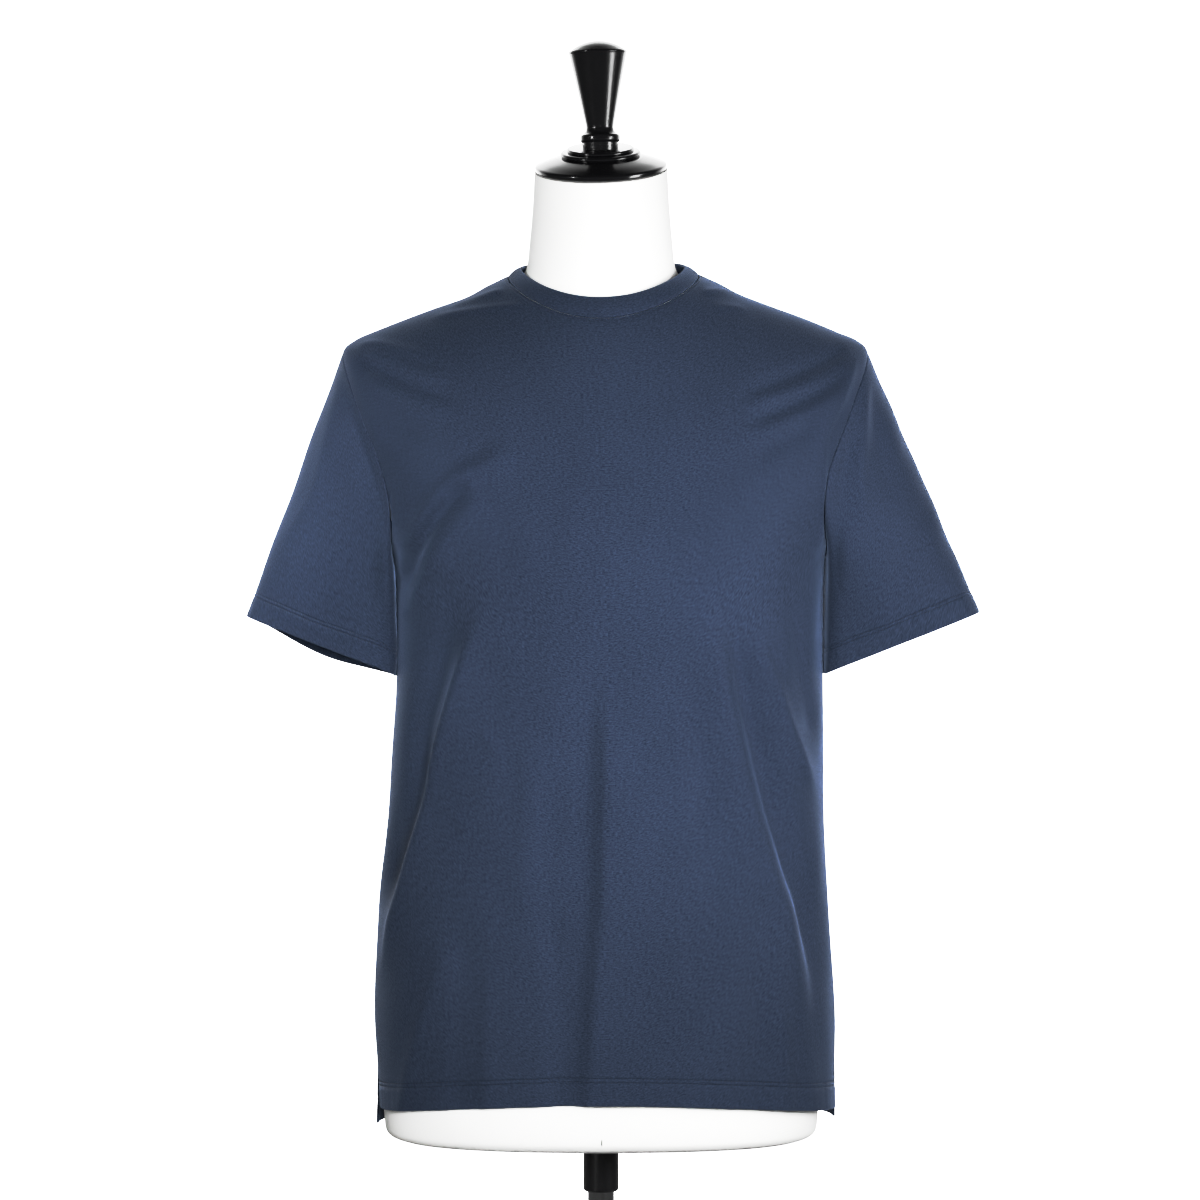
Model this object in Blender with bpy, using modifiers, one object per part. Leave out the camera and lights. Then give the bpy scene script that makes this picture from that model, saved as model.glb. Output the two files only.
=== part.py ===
"""A crew neck t-shirt on a limbless dress form, which turns on a plain pole and base.

Run with: blender --background --python part.py
Blender works in metres. The tables below are in millimetres, and MM turns them into metres.
X runs to the wearer's left, the front of the shirt faces -Y, and +Z is up. The origin is the
centre of the base's underside, on the pole. Heights in the tables are over the form's underside.
"""
import math
from collections import namedtuple

import bmesh
import bpy
import numpy as np

for leftover in list(bpy.data.objects):
    bpy.data.objects.remove(leftover, do_unlink=True)

# ---------------------------------------------------------------- driving dimensions
MM = 0.001
FORM_FOOT = 260.0  # underside of the dress form over the floor
SEAM_GAP = 0.3  # between two pieces that are sewn or seated on each other
JERSEY = 1.4  # wall of one ply of the jersey
RIB_WALL = 2.4  # the neck rib is folded double
RIB_BULGE = 1.2
TURN_UP = 22.0  # depth of the turned hem at body and cuffs

FRONT_COLUMNS = 26  # quads across the front, and across the back
ARMHOLE_ROWS = 10  # rows from shoulder point to underarm
SHOULDER_ROWS = (0.0, 0.6, 1.3, 2.0, 3.0, 4.0, 5.0, 6.0)
BODY_ROWS = (13.0, 14.0, 15.0, 16.0, 17.0, 18.0, 19.0, 20.0, 21.0)
SLEEVE_ROWS = 7
RIB_ROWS = 3
FORM_SIDES = 40
TURNED_SIDES = 36

SHOULDER_LEVEL = 7.0  # row of BODY where the shoulder seam ends
UNDERARM_LEVEL = 12.0
SHOULDER_MIDDLE = 5.4  # level, at the centre line, of the row that ends at the shoulder point
UNDERARM_MIDDLE = 13.0  # and of the row that ends at the underarm
VENT_LEVEL = 21.0
HEM_LEVEL = 22.0
TURN_UP_STEP = 0.02  # levels over which the wall thickens to two plies
FRONT_SCOOP = 34.0  # how far the armhole cuts into the front, in degrees of turn
BACK_SCOOP = 29.0
SCOOP_SKEW = 0.12  # the armhole is fuller above its middle
VENT_SPREAD = 2.4  # how far each side of the vent draws back at the hem, in degrees of turn

POLE_RADIUS = 11.0
POLE_BEVEL = 1.0
SOCKET_RADIUS = 14.75
SOCKET_DROP = 45.0  # how far the black socket hangs below the form
SOCKET_DEPTH = 80.0  # how far it is let into the form
SOCKET_WALL_TOP = 3.0
SOCKET_BEVEL = 1.2
RUNNING_GAP = 0.3
BASE_RADIUS = 170.0
BASE_FLOOR = 6.0  # steel left under the pole's foot

CAP_RADIUS = 55.5
NECK_LEAN = math.tan(math.radians(17.0))  # the neck's top drops towards the front
NECK_ROLL = math.tan(math.radians(1.6))  # and rises a little towards +X
NECK_TOP_Y = -18.0
NECK_TOP_H = 813.0
CAP_HEIGHT = 18.6
HANDLE_LEAN = math.tan(math.radians(4.3))  # the handle stands more upright than the cap
HANDLE_SPARE = 6.0  # length of its foot below the seat, trimmed to the slope of the cap

# ---------------------------------------------------------------- sections
# A ring is one level section. left and right are its half widths at -X and +X, reached at side_y
# and side_h. front and back are its points at x = 0. square rounds it from 2 (ellipse) upwards.
# lean is the slope of its plane from front to back at the sides, and roll its slope along X.
Ring = namedtuple("Ring", "name left right side_y side_h front_y front_h back_y back_h square lean roll")

BODY = (
    Ring("neck seam", 78.5, 82.5, -7, 724.5, -82.0, 684.5, 80, 733.5, 2.05, 0.22, 0.01),
    Ring("collar bone", 95, 99, 0, 718.5, -90.0, 666.5, 93, 722.5, 2.1, 0.10, 0.01),
    Ring("upper shoulder", 113, 117, 3, 709.0, -98.0, 644.5, 104, 706.5, 2.15, 0.04, 0.01),
    Ring("mid shoulder", 140, 144, 4, 699.0, -107.0, 614.5, 114, 680.5, 2.2, 0, 0.005),
    Ring("outer shoulder", 168, 173, 4, 688.5, -115.0, 583.5, 121, 649.5, 2.25, 0, 0.004),
    Ring("shoulder edge", 192, 199, 4, 678.5, -120.0, 552.5, 125, 616.5, 2.3, 0, 0),
    Ring("shoulder tip", 207, 215, 3, 671.5, -122.5, 528.5, 126.5, 589.5, 2.3, 0, 0),
    Ring("shoulder point", 217, 224.5, 2, 661.0, -124.0, 507.5, 127, 566.5, 2.3, 0, 0),
    Ring("sleeve head", 218, 225, 0, 634.5, -124.5, 489.5, 126.5, 543.5, 2.3, 0, 0),
    Ring("upper armhole", 210, 218, -2, 598.5, -124.5, 472.5, 125, 518.5, 2.3, 0, 0),
    Ring("mid armhole", 199, 209, -3, 559.5, -124.0, 455.5, 123, 494.5, 2.3, 0, 0),
    Ring("lower armhole", 186, 198, -3, 522.5, -123.0, 441.5, 121, 472.5, 2.35, 0, 0),
    Ring("underarm", 175, 189, -2, 492.5, -122.0, 425.5, 119, 450.5, 2.4, 0, 0),
    Ring("ribs", 171.5, 186.5, -1, 450.5, -120.5, 398.5, 116, 419.5, 2.45, 0, 0),
    Ring("above waist", 171.5, 186.5, 0, 405.5, -119.0, 365.5, 113, 382.5, 2.45, 0, 0),
    Ring("waist", 173.5, 187.5, 1, 358.5, -117.5, 329.5, 111, 339.5, 2.45, 0, 0),
    Ring("below waist", 177.6, 187.0, 2, 294.5, -116.5, 277.5, 111, 282.5, 2.4, 0, 0),
    Ring("upper hip", 182.0, 188.5, 3, 245.5, -116.5, 235.5, 114, 236.5, 2.4, 0, 0),
    Ring("hip", 186.5, 191.0, 4, 200.5, -117.5, 194.5, 119, 192.5, 2.4, 0, 0),
    Ring("seat", 189.6, 194.8, 5, 145.5, -119.0, 146.5, 126, 140.5, 2.4, 0, 0),
    Ring("lower seat", 190.4, 196.8, 6, 100.5, -120.0, 107.5, 130, 94.5, 2.4, 0, 0),
    Ring("vent top", 188.4, 196.5, 6, 65.5, -120.0, 77.5, 131, 59.5, 2.4, 0, 0),
)
FRONT_HEM = Ring("front hem", 186.0, 197.4, 6, 26.0, -119.5, 41.5, 131, 11.5, 2.4, 0, 0)
BACK_HEM = Ring("back hem", 190.0, 198.0, 6, 13.0, -119.5, 41.5, 131, 10.0, 2.4, 0, 0.015)

# A fold is a soft ridge (height over 0) or trough along a line on the body, from one turn and level
# to another. width is its half width in degrees of turn. turn 0 is the centre front.
Fold = namedtuple("Fold", "name turn0 level0 turn1 level1 width height")
FOLDS = (
    Fold("right side ridge", -44, 11.6, -74, 20.5, 9, 5.0),
    Fold("right side trough", -60, 11.2, -86, 18.5, 8, -3.5),
    Fold("right underarm trough", -74, 12.6, -38, 9.2, 7, -4.0),
    Fold("right underarm ridge", -62, 11.4, -30, 7.8, 8, 3.0),
    Fold("left chest ridge", 34, 11.5, 62, 20.8, 11, 4.5),
    Fold("left side trough", 54, 12.8, 76, 20.4, 8, -3.5),
    Fold("left armhole ridge", 61, 8.8, 76, 14.6, 9, 4.0),
    Fold("centre trough", -3, 12.5, -2, 21.6, 7, -2.5),
    Fold("back right ridge", -142, 9.5, -128, 20.5, 10, 5.0),
    Fold("back right trough", -125, 10.5, -108, 20.0, 8, -4.0),
    Fold("back centre ridge", -172, 12.5, -176, 21.6, 12, 3.5),
    Fold("back left trough", 158, 11.0, 152, 20.6, 9, -3.5),
    Fold("back left ridge", 138, 9.5, 122, 20.5, 10, 5.0),
)

# The rib's upper edge is its own ring, in the same form as the body's.
RIB_EDGE = Ring("rib edge", 67.0, 70.0, -5, 732.5, -74.5, 702.5, 67, 741.5, 2.05, 0.22, 0.01)

# A cuff's ends are its outer and inner corners, seen from the front.
Cuff = namedtuple("Cuff", "name side outer_x outer_h inner_x inner_h front_y back_y back_drop")
CUFFS = (
    Cuff("right_sleeve", -1, -299.0, 439.0, -175.5, 388.5, -33.0, 40.0, 4.0),
    Cuff("left_sleeve", 1, 319.4, 442.5, 191.5, 390.5, -33.0, 40.0, 3.0),
)
CUFF_SQUARE = 2.3
UNDERARM_STANDOFF = 2.6  # the sleeve hangs this clear of the side of the body
UNDERARM_LIFT = 0.4  # and starts this far outside the panels at the seam
STANDOFF_REACH = 0.06  # share of the sleeve's length over which it swings clear
UNDERARM_ZONE = 0.25  # how far up the armhole the stand-off goes, from 0 half way to 1 all round
CUFF_STEP = 0.004  # share of the sleeve's length over which the wall thickens to two plies

FORM = (
    Ring("neck top", 55.5, 55.5, NECK_TOP_Y, NECK_TOP_H, -75.5, NECK_TOP_H - 57.5 * NECK_LEAN,
         39.5, NECK_TOP_H + 57.5 * NECK_LEAN, 2.0, NECK_LEAN, NECK_ROLL),
    Ring("upper neck", 57.2, 57.2, -14, 782.5, -74.0, 767.5, 46, 801.5, 2.0, 0.27, 0.02),
    Ring("lower neck", 59.8, 59.8, -9, 753.5, -71.5, 737.5, 54, 771.5, 2.0, 0.25, 0.01),
    Ring("neck base", 62.5, 62.5, -5, 732.5, -69.0, 707.5, 61, 744.5, 2.0, 0.22, 0),
    Ring("neck root", 70, 70, -3, 722.5, -73.5, 688.5, 71, 728.5, 2.05, 0.18, 0),
    Ring("collar bone", 92, 92, 0, 713.5, -85.5, 666.5, 89, 717.5, 2.1, 0.10, 0),
    Ring("upper shoulder", 111, 111, 3, 704.0, -93.5, 644.5, 99.5, 701.5, 2.15, 0.04, 0),
    Ring("mid shoulder", 138, 138, 4, 694.0, -102.5, 614.5, 109.5, 676.5, 2.2, 0, 0),
    Ring("outer shoulder", 166, 166, 4, 683.5, -110.5, 583.5, 116.5, 646.5, 2.25, 0, 0),
    Ring("shoulder edge", 188, 188, 4, 674.0, -115.5, 552.5, 120.5, 613.5, 2.3, 0, 0),
    Ring("shoulder tip", 200, 200, 3, 663.5, -117.5, 528.5, 121.5, 586.5, 2.3, 0, 0),
    Ring("shoulder end", 205, 205, 2, 643.5, -118.5, 507.5, 121.5, 563.5, 2.3, 0, 0),
    Ring("arm plate", 202, 202, 0, 609.5, -118.5, 489.5, 120.0, 540.5, 2.3, 0, 0),
    Ring("upper side", 194, 194, -2, 572.5, -118.0, 472.5, 118.0, 515.5, 2.3, 0, 0),
    Ring("chest side", 182, 182, -3, 535.5, -117.0, 455.5, 115.0, 491.5, 2.3, 0, 0),
    Ring("underarm", 170, 170, -2, 500.5, -115.5, 437.5, 111.0, 465.5, 2.35, 0, 0),
    Ring("ribs", 161, 161, 0, 450.5, -112.0, 405.5, 105.0, 427.5, 2.35, 0, 0),
    Ring("above waist", 154, 154, 0, 395.5, -108.0, 370.5, 98.0, 385.5, 2.3, 0, 0),
    Ring("waist", 150, 150, 1, 340.5, -105.0, 330.5, 92.0, 335.5, 2.3, 0, 0),
    Ring("below waist", 152, 152, 2, 285.5, -104.0, 280.5, 94.0, 283.5, 2.3, 0, 0),
    Ring("upper hip", 161, 161, 3, 230.5, -106.0, 227.5, 103.0, 229.5, 2.35, 0, 0),
    Ring("hip", 173, 173, 4, 165.5, -109.5, 165.5, 115.0, 165.5, 2.4, 0, 0),
    Ring("seat", 181.5, 181.5, 5, 95.5, -112.0, 95.5, 122.0, 95.5, 2.4, 0, 0),
    Ring("lower seat", 182.8, 182.8, 6, 40.5, -112.0, 40.5, 123.0, 40.5, 2.4, 0, 0),
    Ring("foot edge", 182.0, 182.0, 6, 12.5, -110.5, 12.5, 121.5, 12.5, 2.4, 0, 0),
    Ring("foot corner", 178.0, 178.0, 6, 4.0, -106.5, 4, 117.5, 4, 2.4, 0, 0),
    Ring("underside", 168.0, 168.0, 6, 0.0, -96.5, 0, 107.5, 0, 2.4, 0, 0),
    Ring("socket mouth", 15.1, 15.1, 0, 0.0, -15.1, 0, 15.1, 0, 2.0, 0, 0),
    Ring("socket roof", 15.1, 15.1, 0, SOCKET_DEPTH, -15.1, SOCKET_DEPTH, 15.1, SOCKET_DEPTH, 2.0, 0, 0),
)

# Turned outlines: radius and height along the axis, from the top down the outer side.
CAP_OUTLINE = (
    (0.0, CAP_HEIGHT), (27.2, CAP_HEIGHT), (28.2, 17.8), (28.2, 16.5), (27.6, 15.8), (32.6, 15.6),
    (34.0, 14.3), (33.6, 12.6), (32.4, 11.8), (36.0, 11.2), (46.0, 8.2), (54.2, 4.8),
    (CAP_RADIUS, 3.8), (CAP_RADIUS, 0.9), (54.6, 0.0), (0.0, 0.0),
)
HANDLE_OUTLINE = (
    (0.0, 88.6), (9.0, 87.6), (17.5, 84.3), (24.2, 79.7), (24.8, 78.7), (24.2, 77.3), (17.7, 47.0),
    (11.8, 17.8), (11.6, 15.8), (12.2, 13.3), (14.2, 11.2), (16.3, 10.2), (16.9, 8.8), (16.9, 6.0),
    (16.2, 4.6), (15.3, 3.9), (14.8, -HANDLE_SPARE), (0.0, -HANDLE_SPARE),
)
# The base from the hub's top rim, down the hub and over the plate, to its underside.
BASE_OUTLINE = (
    (19.5, 42.0), (21.0, 40.5), (21.0, 17.0), (25.0, 13.5), (130.0, 11.0), (BASE_RADIUS - 2.5, 9.0),
    (BASE_RADIUS, 6.5), (BASE_RADIUS, 1.0), (BASE_RADIUS - 1.0, 0.0), (0.0, 0.0),
)


# ---------------------------------------------------------------- surfaces
def ring_at(rings, level):
    """The ring at a level between two rows of a table, on a smooth curve through its neighbours."""
    last = len(rings) - 1
    start = min(max(int(math.floor(level)), 0), last - 1)
    part = level - start
    rows = [np.array(rings[min(max(start + step, 0), last)][1:], float) for step in (-1, 0, 1, 2)]
    before, here, there, after = rows
    leaving = (there - before) / 2
    arriving = (after - here) / 2
    bend = 3 * (there - here) - 2 * leaving - arriving
    ease = leaving + arriving - 2 * (there - here)
    return here + part * (leaving + part * (bend + part * ease))


def ring_point(ring, turn):
    """The point of a ring at a turn in degrees: 0 centre front, 90 at +X, 180 centre back."""
    left, right, side_y, side_h, front_y, front_h, back_y, back_h, square, lean, roll = ring
    sine = math.sin(math.radians(turn))
    cosine = math.cos(math.radians(turn))
    reach = (abs(sine) ** square + abs(cosine) ** square) ** (-1 / square)
    half_width = right if sine > 0 else left
    end_y, end_h = (front_y, front_h) if cosine > 0 else (back_y, back_h)
    x = half_width * sine * reach
    depth = (end_y - side_y) * abs(cosine) * reach
    fall = end_h - side_h - lean * (end_y - side_y)
    return np.array([x, side_y + depth, side_h + lean * depth + roll * x + fall * cosine ** 2])


def fold_height(level, turn):
    """How far the folds push the cloth out at a level and a turn."""
    total = 0.0
    for fold in FOLDS:
        along = (level - fold.level0) / (fold.level1 - fold.level0)
        if 0 < along < 1:
            middle = fold.turn0 + (fold.turn1 - fold.turn0) * along
            across = ((turn - middle + 180) % 360 - 180) / fold.width
            total += fold.height * math.exp(-across * across) * math.sin(math.pi * along)
    return total


def unit(vector):
    return vector / np.linalg.norm(vector)


def outward(surface, down, around, down_step, around_step):
    """The outward direction of a surface whose first value runs down it and whose second to +X."""
    along = surface(down + down_step, around) - surface(down - down_step, around)
    across = surface(down, around + around_step) - surface(down, around - around_step)
    return unit(np.cross(along, across))


def shirt_ring(hem, level):
    """The shirt's ring at a level: one body down to the vents, then this panel's own hem."""
    if level <= VENT_LEVEL:
        return ring_at(BODY, level)
    part = (level - VENT_LEVEL) / (HEM_LEVEL - VENT_LEVEL)
    return ring_at(BODY, VENT_LEVEL) * (1 - part) + np.array(hem[1:], float) * part


def smooth_normal(level, turn, hem=FRONT_HEM):
    """The outward direction of the shirt without its folds."""
    return outward(lambda down, around: ring_point(shirt_ring(hem, down), around), level, turn, 0.05, 1.0)


def body_point(level, turn, hem=FRONT_HEM):
    """A point on the shirt's outer face, folds included."""
    lift = smooth_normal(level, turn, hem) * fold_height(level, turn)
    return ring_point(shirt_ring(hem, level), turn) + lift


def body_normal(level, turn, hem=FRONT_HEM):
    """The outward direction of the shirt, folds included."""
    return outward(lambda down, around: body_point(down, around, hem), level, turn, 0.04, 0.8)


# ---------------------------------------------------------------- making objects
def collection_for(name):
    group = bpy.data.collections.new(name)
    bpy.context.scene.collection.children.link(group)
    return group


PART = collection_for("crew_neck_t_shirt_on_dress_form")


def material(name, colour, roughness, metallic=0.0):
    made = bpy.data.materials.new(name)
    made.use_nodes = True
    shader = made.node_tree.nodes["Principled BSDF"]
    shader.inputs["Base Color"].default_value = (*colour, 1.0)
    shader.inputs["Roughness"].default_value = roughness
    shader.inputs["Metallic"].default_value = metallic
    return made


def place(name, mesh, finish):
    """A mesh as one object of the part, with its finish."""
    made = bpy.data.objects.new(name, mesh)
    mesh.materials.append(finish)
    PART.objects.link(made)
    return made


def grid_faces(rows, columns, wraps, offset, flip):
    """The quads of a grid of vertices that starts at offset. Flipped ones keep the same diagonal."""
    faces = []
    for row in range(rows - 1):
        for column in range(columns if wraps else columns - 1):
            right = (column + 1) % columns
            quad = [
                offset + row * columns + column,
                offset + (row + 1) * columns + column,
                offset + (row + 1) * columns + right,
                offset + row * columns + right,
            ]
            faces.append(quad[:1] + quad[:0:-1] if flip else quad)
    return faces


def rim_faces(edge, offset, closed, flip):
    """The quads that join an edge of the outer grid to the same edge of the inner grid."""
    faces = []
    count = len(edge)
    for index in range(count if closed else count - 1):
        here = edge[index]
        there = edge[(index + 1) % count]
        quad = [here, there, there + offset, here + offset]
        faces.append(quad[::-1] if flip else quad)
    return faces


def cloth_wall(name, outer, inner, wraps, finish):
    """A closed wall of cloth between an outer and an inner grid of the same shape."""
    rows, columns = outer.shape[:2]
    inner_start = rows * columns
    faces = grid_faces(rows, columns, wraps, 0, False)
    faces += grid_faces(rows, columns, wraps, inner_start, True)
    top = list(range(columns))
    bottom = [(rows - 1) * columns + column for column in range(columns)]
    faces += rim_faces(top, inner_start, wraps, False)
    faces += rim_faces(bottom, inner_start, wraps, True)
    if not wraps:
        first = [row * columns for row in range(rows)]
        last = [row * columns + columns - 1 for row in range(rows)]
        faces += rim_faces(first, inner_start, False, True)
        faces += rim_faces(last, inner_start, False, False)
    points = np.concatenate([outer.reshape(-1, 3), inner.reshape(-1, 3)])
    points[:, 2] += FORM_FOOT
    mesh = bpy.data.meshes.new(name)
    mesh.from_pydata((points * MM).tolist(), [], faces)
    mesh.update()
    mesh.shade_smooth()
    mesh.set_sharp_from_angle(angle=math.radians(50))
    return place(name, mesh, finish)


def turned(name, outline, finish):
    """A turned solid on the Z axis, from radii and heights in millimetres."""
    mesh = bpy.data.meshes.new(name)
    points = [(radius * MM, 0.0, height * MM) for radius, height in outline]
    edges = [(index, index + 1) for index in range(len(points) - 1)]
    mesh.from_pydata(points, edges, [])
    made = place(name, mesh, finish)
    screw = made.modifiers.new("turn", "SCREW")
    screw.steps = TURNED_SIDES
    screw.render_steps = TURNED_SIDES
    screw.use_merge_vertices = True
    screw.merge_threshold = 0.00001
    screw.use_smooth_shade = True
    return made


# ---------------------------------------------------------------- the shirt
def armhole(share):
    """Level and degrees from the side seam, at a share round the armhole: 0 top, 0.5 underarm."""
    angle = 2 * math.pi * share
    middle = (SHOULDER_LEVEL + UNDERARM_LEVEL) / 2
    half = (UNDERARM_LEVEL - SHOULDER_LEVEL) / 2
    scoop = FRONT_SCOOP if share <= 0.5 else BACK_SCOOP
    return middle - half * math.cos(angle), scoop * math.sin(angle) * (1 + SCOOP_SKEW * math.cos(angle))


def panel_rows(hem, middle_turn):
    """Rows of a panel from the neck seam down: level at its edge and at its middle, reach, plies."""
    height = ring_point(ring_at(BODY, VENT_LEVEL), middle_turn)[2]
    height -= ring_point(shirt_ring(hem, HEM_LEVEL), middle_turn)[2]
    turn_up = HEM_LEVEL - TURN_UP / height
    first_share = 0.0 if middle_turn == 0.0 else 1.0
    rows = []
    for edge in SHOULDER_ROWS:
        rows.append((edge, edge * SHOULDER_MIDDLE / SHOULDER_LEVEL, 90.0, 1))
    for row in range(ARMHOLE_ROWS + 1):
        part = row / ARMHOLE_ROWS
        edge, scoop = armhole(abs(first_share - part / 2))
        middle = SHOULDER_MIDDLE + (UNDERARM_MIDDLE - SHOULDER_MIDDLE) * part
        rows.append((edge, middle, 90.0 - abs(scoop), 1))
    for edge in BODY_ROWS:
        part = (edge - UNDERARM_LEVEL) / (VENT_LEVEL - UNDERARM_LEVEL)
        rows.append((edge, UNDERARM_MIDDLE + (VENT_LEVEL - UNDERARM_MIDDLE) * part, 90.0, 1))
    for level, plies in ((turn_up, 1), (turn_up + TURN_UP_STEP, 2), (HEM_LEVEL, 2)):
        rows.append((level, level, 90.0 - VENT_SPREAD * (level - VENT_LEVEL), plies))
    return rows


def column_share(column):
    """Where a column stands between the edges, from -1 to 1, closer together near the edges."""
    even = 2 * column / FRONT_COLUMNS - 1
    return 0.75 * even + 0.25 * math.sin(even * math.pi / 2)


def panel(name, hem, middle_turn, finish):
    """The front (middle_turn 0) or the back (middle_turn 180) of the shirt."""
    outer = []
    inner = []
    shares = [column_share(column) for column in range(FRONT_COLUMNS + 1)]
    for edge, middle, reach, plies in panel_rows(hem, middle_turn):
        places = [(middle + (edge - middle) * share ** 2, middle_turn + reach * share) for share in shares]
        points = np.array([body_point(level, turn, hem) for level, turn in places])
        normals = np.array([body_normal(level, turn, hem) for level, turn in places])
        points[0] += unit(points[1] - points[0]) * SEAM_GAP / 2
        points[-1] += unit(points[-2] - points[-1]) * SEAM_GAP / 2
        outer.append(points)
        inner.append(points - normals * JERSEY * plies)
    outer = np.array(outer)
    inner = np.array(inner)
    for column in range(FRONT_COLUMNS + 1):
        shift = unit(outer[1, column] - outer[0, column]) * SEAM_GAP / 2
        outer[0, column] += shift
        inner[0, column] += shift
    return cloth_wall(name, outer, inner, False, finish)


def armhole_point(side, share):
    level, scoop = armhole(share % 1.0)
    return body_point(level, side * (90 - scoop))


def cuff_point(cuff, share):
    """A point on the cuff's edge, at the same share round the sleeve."""
    angle = 2 * math.pi * share
    sine = math.sin(angle)
    cosine = math.cos(angle)
    reach = (abs(sine) ** CUFF_SQUARE + abs(cosine) ** CUFF_SQUARE) ** (-1 / CUFF_SQUARE)
    across = (1 + cosine * reach) / 2
    x = cuff.inner_x + (cuff.outer_x - cuff.inner_x) * across
    height = cuff.inner_h + (cuff.outer_h - cuff.inner_h) * across
    middle_y = (cuff.front_y + cuff.back_y) / 2
    half_depth = (cuff.back_y - cuff.front_y) / 2
    drop = cuff.back_drop * max(0.0, -sine)
    return np.array([x, middle_y - half_depth * sine * reach, height - drop])


def sleeve_point(cuff, row, share):
    """A point on the sleeve: row 0 at the armhole seam, 1 at the cuff's edge."""
    start = armhole_point(cuff.side, share)
    end = cuff_point(cuff, share)
    level, scoop = armhole(share % 1.0)
    under = max(0.0, UNDERARM_ZONE - math.cos(2 * math.pi * share)) / (1 + UNDERARM_ZONE)
    clear = UNDERARM_STANDOFF * (1 - math.exp(-row / STANDOFF_REACH)) * (1 - row) + UNDERARM_LIFT
    off_body = smooth_normal(level, cuff.side * (90 - scoop)) * under * clear
    return start + (end - start) * row + off_body


def sleeve(cuff, finish):
    """A set-in sleeve: a slanting tube from the armhole seam to the turned cuff."""
    count = 2 * ARMHOLE_ROWS
    middle = np.mean([armhole_point(cuff.side, index / count) for index in range(count)], axis=0)
    length = np.linalg.norm(cuff_point(cuff, 0.0) - armhole_point(cuff.side, 0.0))
    turn_up = 1 - TURN_UP / length
    rows = [(row / SLEEVE_ROWS * turn_up, 1) for row in range(SLEEVE_ROWS)]
    rows += [(turn_up, 1), (turn_up + CUFF_STEP, 2), (1.0, 2)]
    outer = []
    inner = []
    for row, plies in rows:
        for index in range(count):
            share = -cuff.side * index / count % 1.0
            point = sleeve_point(cuff, row, share)
            normal = outward(
                lambda down, around: sleeve_point(cuff, down, -cuff.side * around % 1.0),
                max(row, 0.01), index / count, 0.01, 0.01)
            if row == 0.0:
                level, scoop = armhole(share)
                turn = cuff.side * (90 - scoop)
                body = smooth_normal(level, turn)
                seam = armhole_point(cuff.side, share + 0.01) - armhole_point(cuff.side, share - 0.01)
                away = unit(np.cross(body, seam))
                away *= np.sign(np.dot(away, middle - point))
                point = point + away * SEAM_GAP
                match = min(max(np.dot(body, normal) / 0.5, 0.0), 1.0)
                normal = unit(body_normal(level, turn) * match + normal * (1 - match))
            outer.append(point)
            inner.append(point - normal * JERSEY * plies)
    shape = (len(rows), count, 3)
    return cloth_wall(cuff.name, np.reshape(outer, shape), np.reshape(inner, shape), True, finish)


def rib_point(part, turn):
    """A point on the neck rib: part 0 at its upper edge, 1 at the neck seam."""
    top = ring_point(np.array(RIB_EDGE[1:], float), turn)
    seam = body_point(0.0, turn)
    bulge = RIB_BULGE * math.sin(math.pi * part)
    return top + (seam - top) * part + smooth_normal(0.0, turn) * bulge


def neck_rib(finish):
    """The folded rib that stands up from the neck seam."""
    front = [90 * column_share(column) for column in range(FRONT_COLUMNS + 1)]
    turns = front + [180 + turn for turn in front[1:-1]]
    outer = []
    inner = []
    for row in range(RIB_ROWS + 1):
        part = row / RIB_ROWS
        for turn in turns:
            point = rib_point(part, turn)
            normal = outward(rib_point, part, turn, 0.05, 1.0)
            if part == 1.0:
                point = point + unit(rib_point(0.9, turn) - point) * SEAM_GAP / 2
                normal = body_normal(0.0, turn)
            outer.append(point)
            inner.append(point - normal * RIB_WALL)
    shape = (RIB_ROWS + 1, len(turns), 3)
    return cloth_wall("neck_rib", np.reshape(outer, shape), np.reshape(inner, shape), True, finish)


# ---------------------------------------------------------------- the dress form
def dress_form(finish):
    """The padded torso: one closed loft of rings, with a round socket let into its underside."""
    turns = [360 * side / FORM_SIDES for side in range(FORM_SIDES)]
    points = np.array([[ring_point(np.array(ring[1:], float), turn) for turn in turns] for ring in FORM])
    faces = grid_faces(len(FORM), FORM_SIDES, True, 0, False)
    faces.append(list(range(FORM_SIDES)))
    last = (len(FORM) - 1) * FORM_SIDES
    faces.append([last + side for side in range(FORM_SIDES)][::-1])
    points[:, :, 2] += FORM_FOOT
    mesh = bpy.data.meshes.new("dress_form")
    mesh.from_pydata((points.reshape(-1, 3) * MM).tolist(), [], faces)
    mesh.update()
    mesh.shade_smooth()
    mesh.set_sharp_from_angle(angle=math.radians(40))
    return place("dress_form", mesh, finish)


def on_neck(made, height, lean):
    """Seat a turned piece on the neck cap's axis, a height over the neck, with its own lean."""
    up = np.array([-NECK_ROLL, -NECK_LEAN, 1.0])
    up /= np.linalg.norm(up)
    seat = np.array([0.0, NECK_TOP_Y, FORM_FOOT + NECK_TOP_H]) + up * height
    axis = np.array([-NECK_ROLL, -lean, 1.0])
    axis /= np.linalg.norm(axis)
    made.location = seat * MM
    made.rotation_euler = (math.asin(-axis[1]), math.atan2(axis[0], axis[2]), 0.0)
    return seat, up


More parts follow.
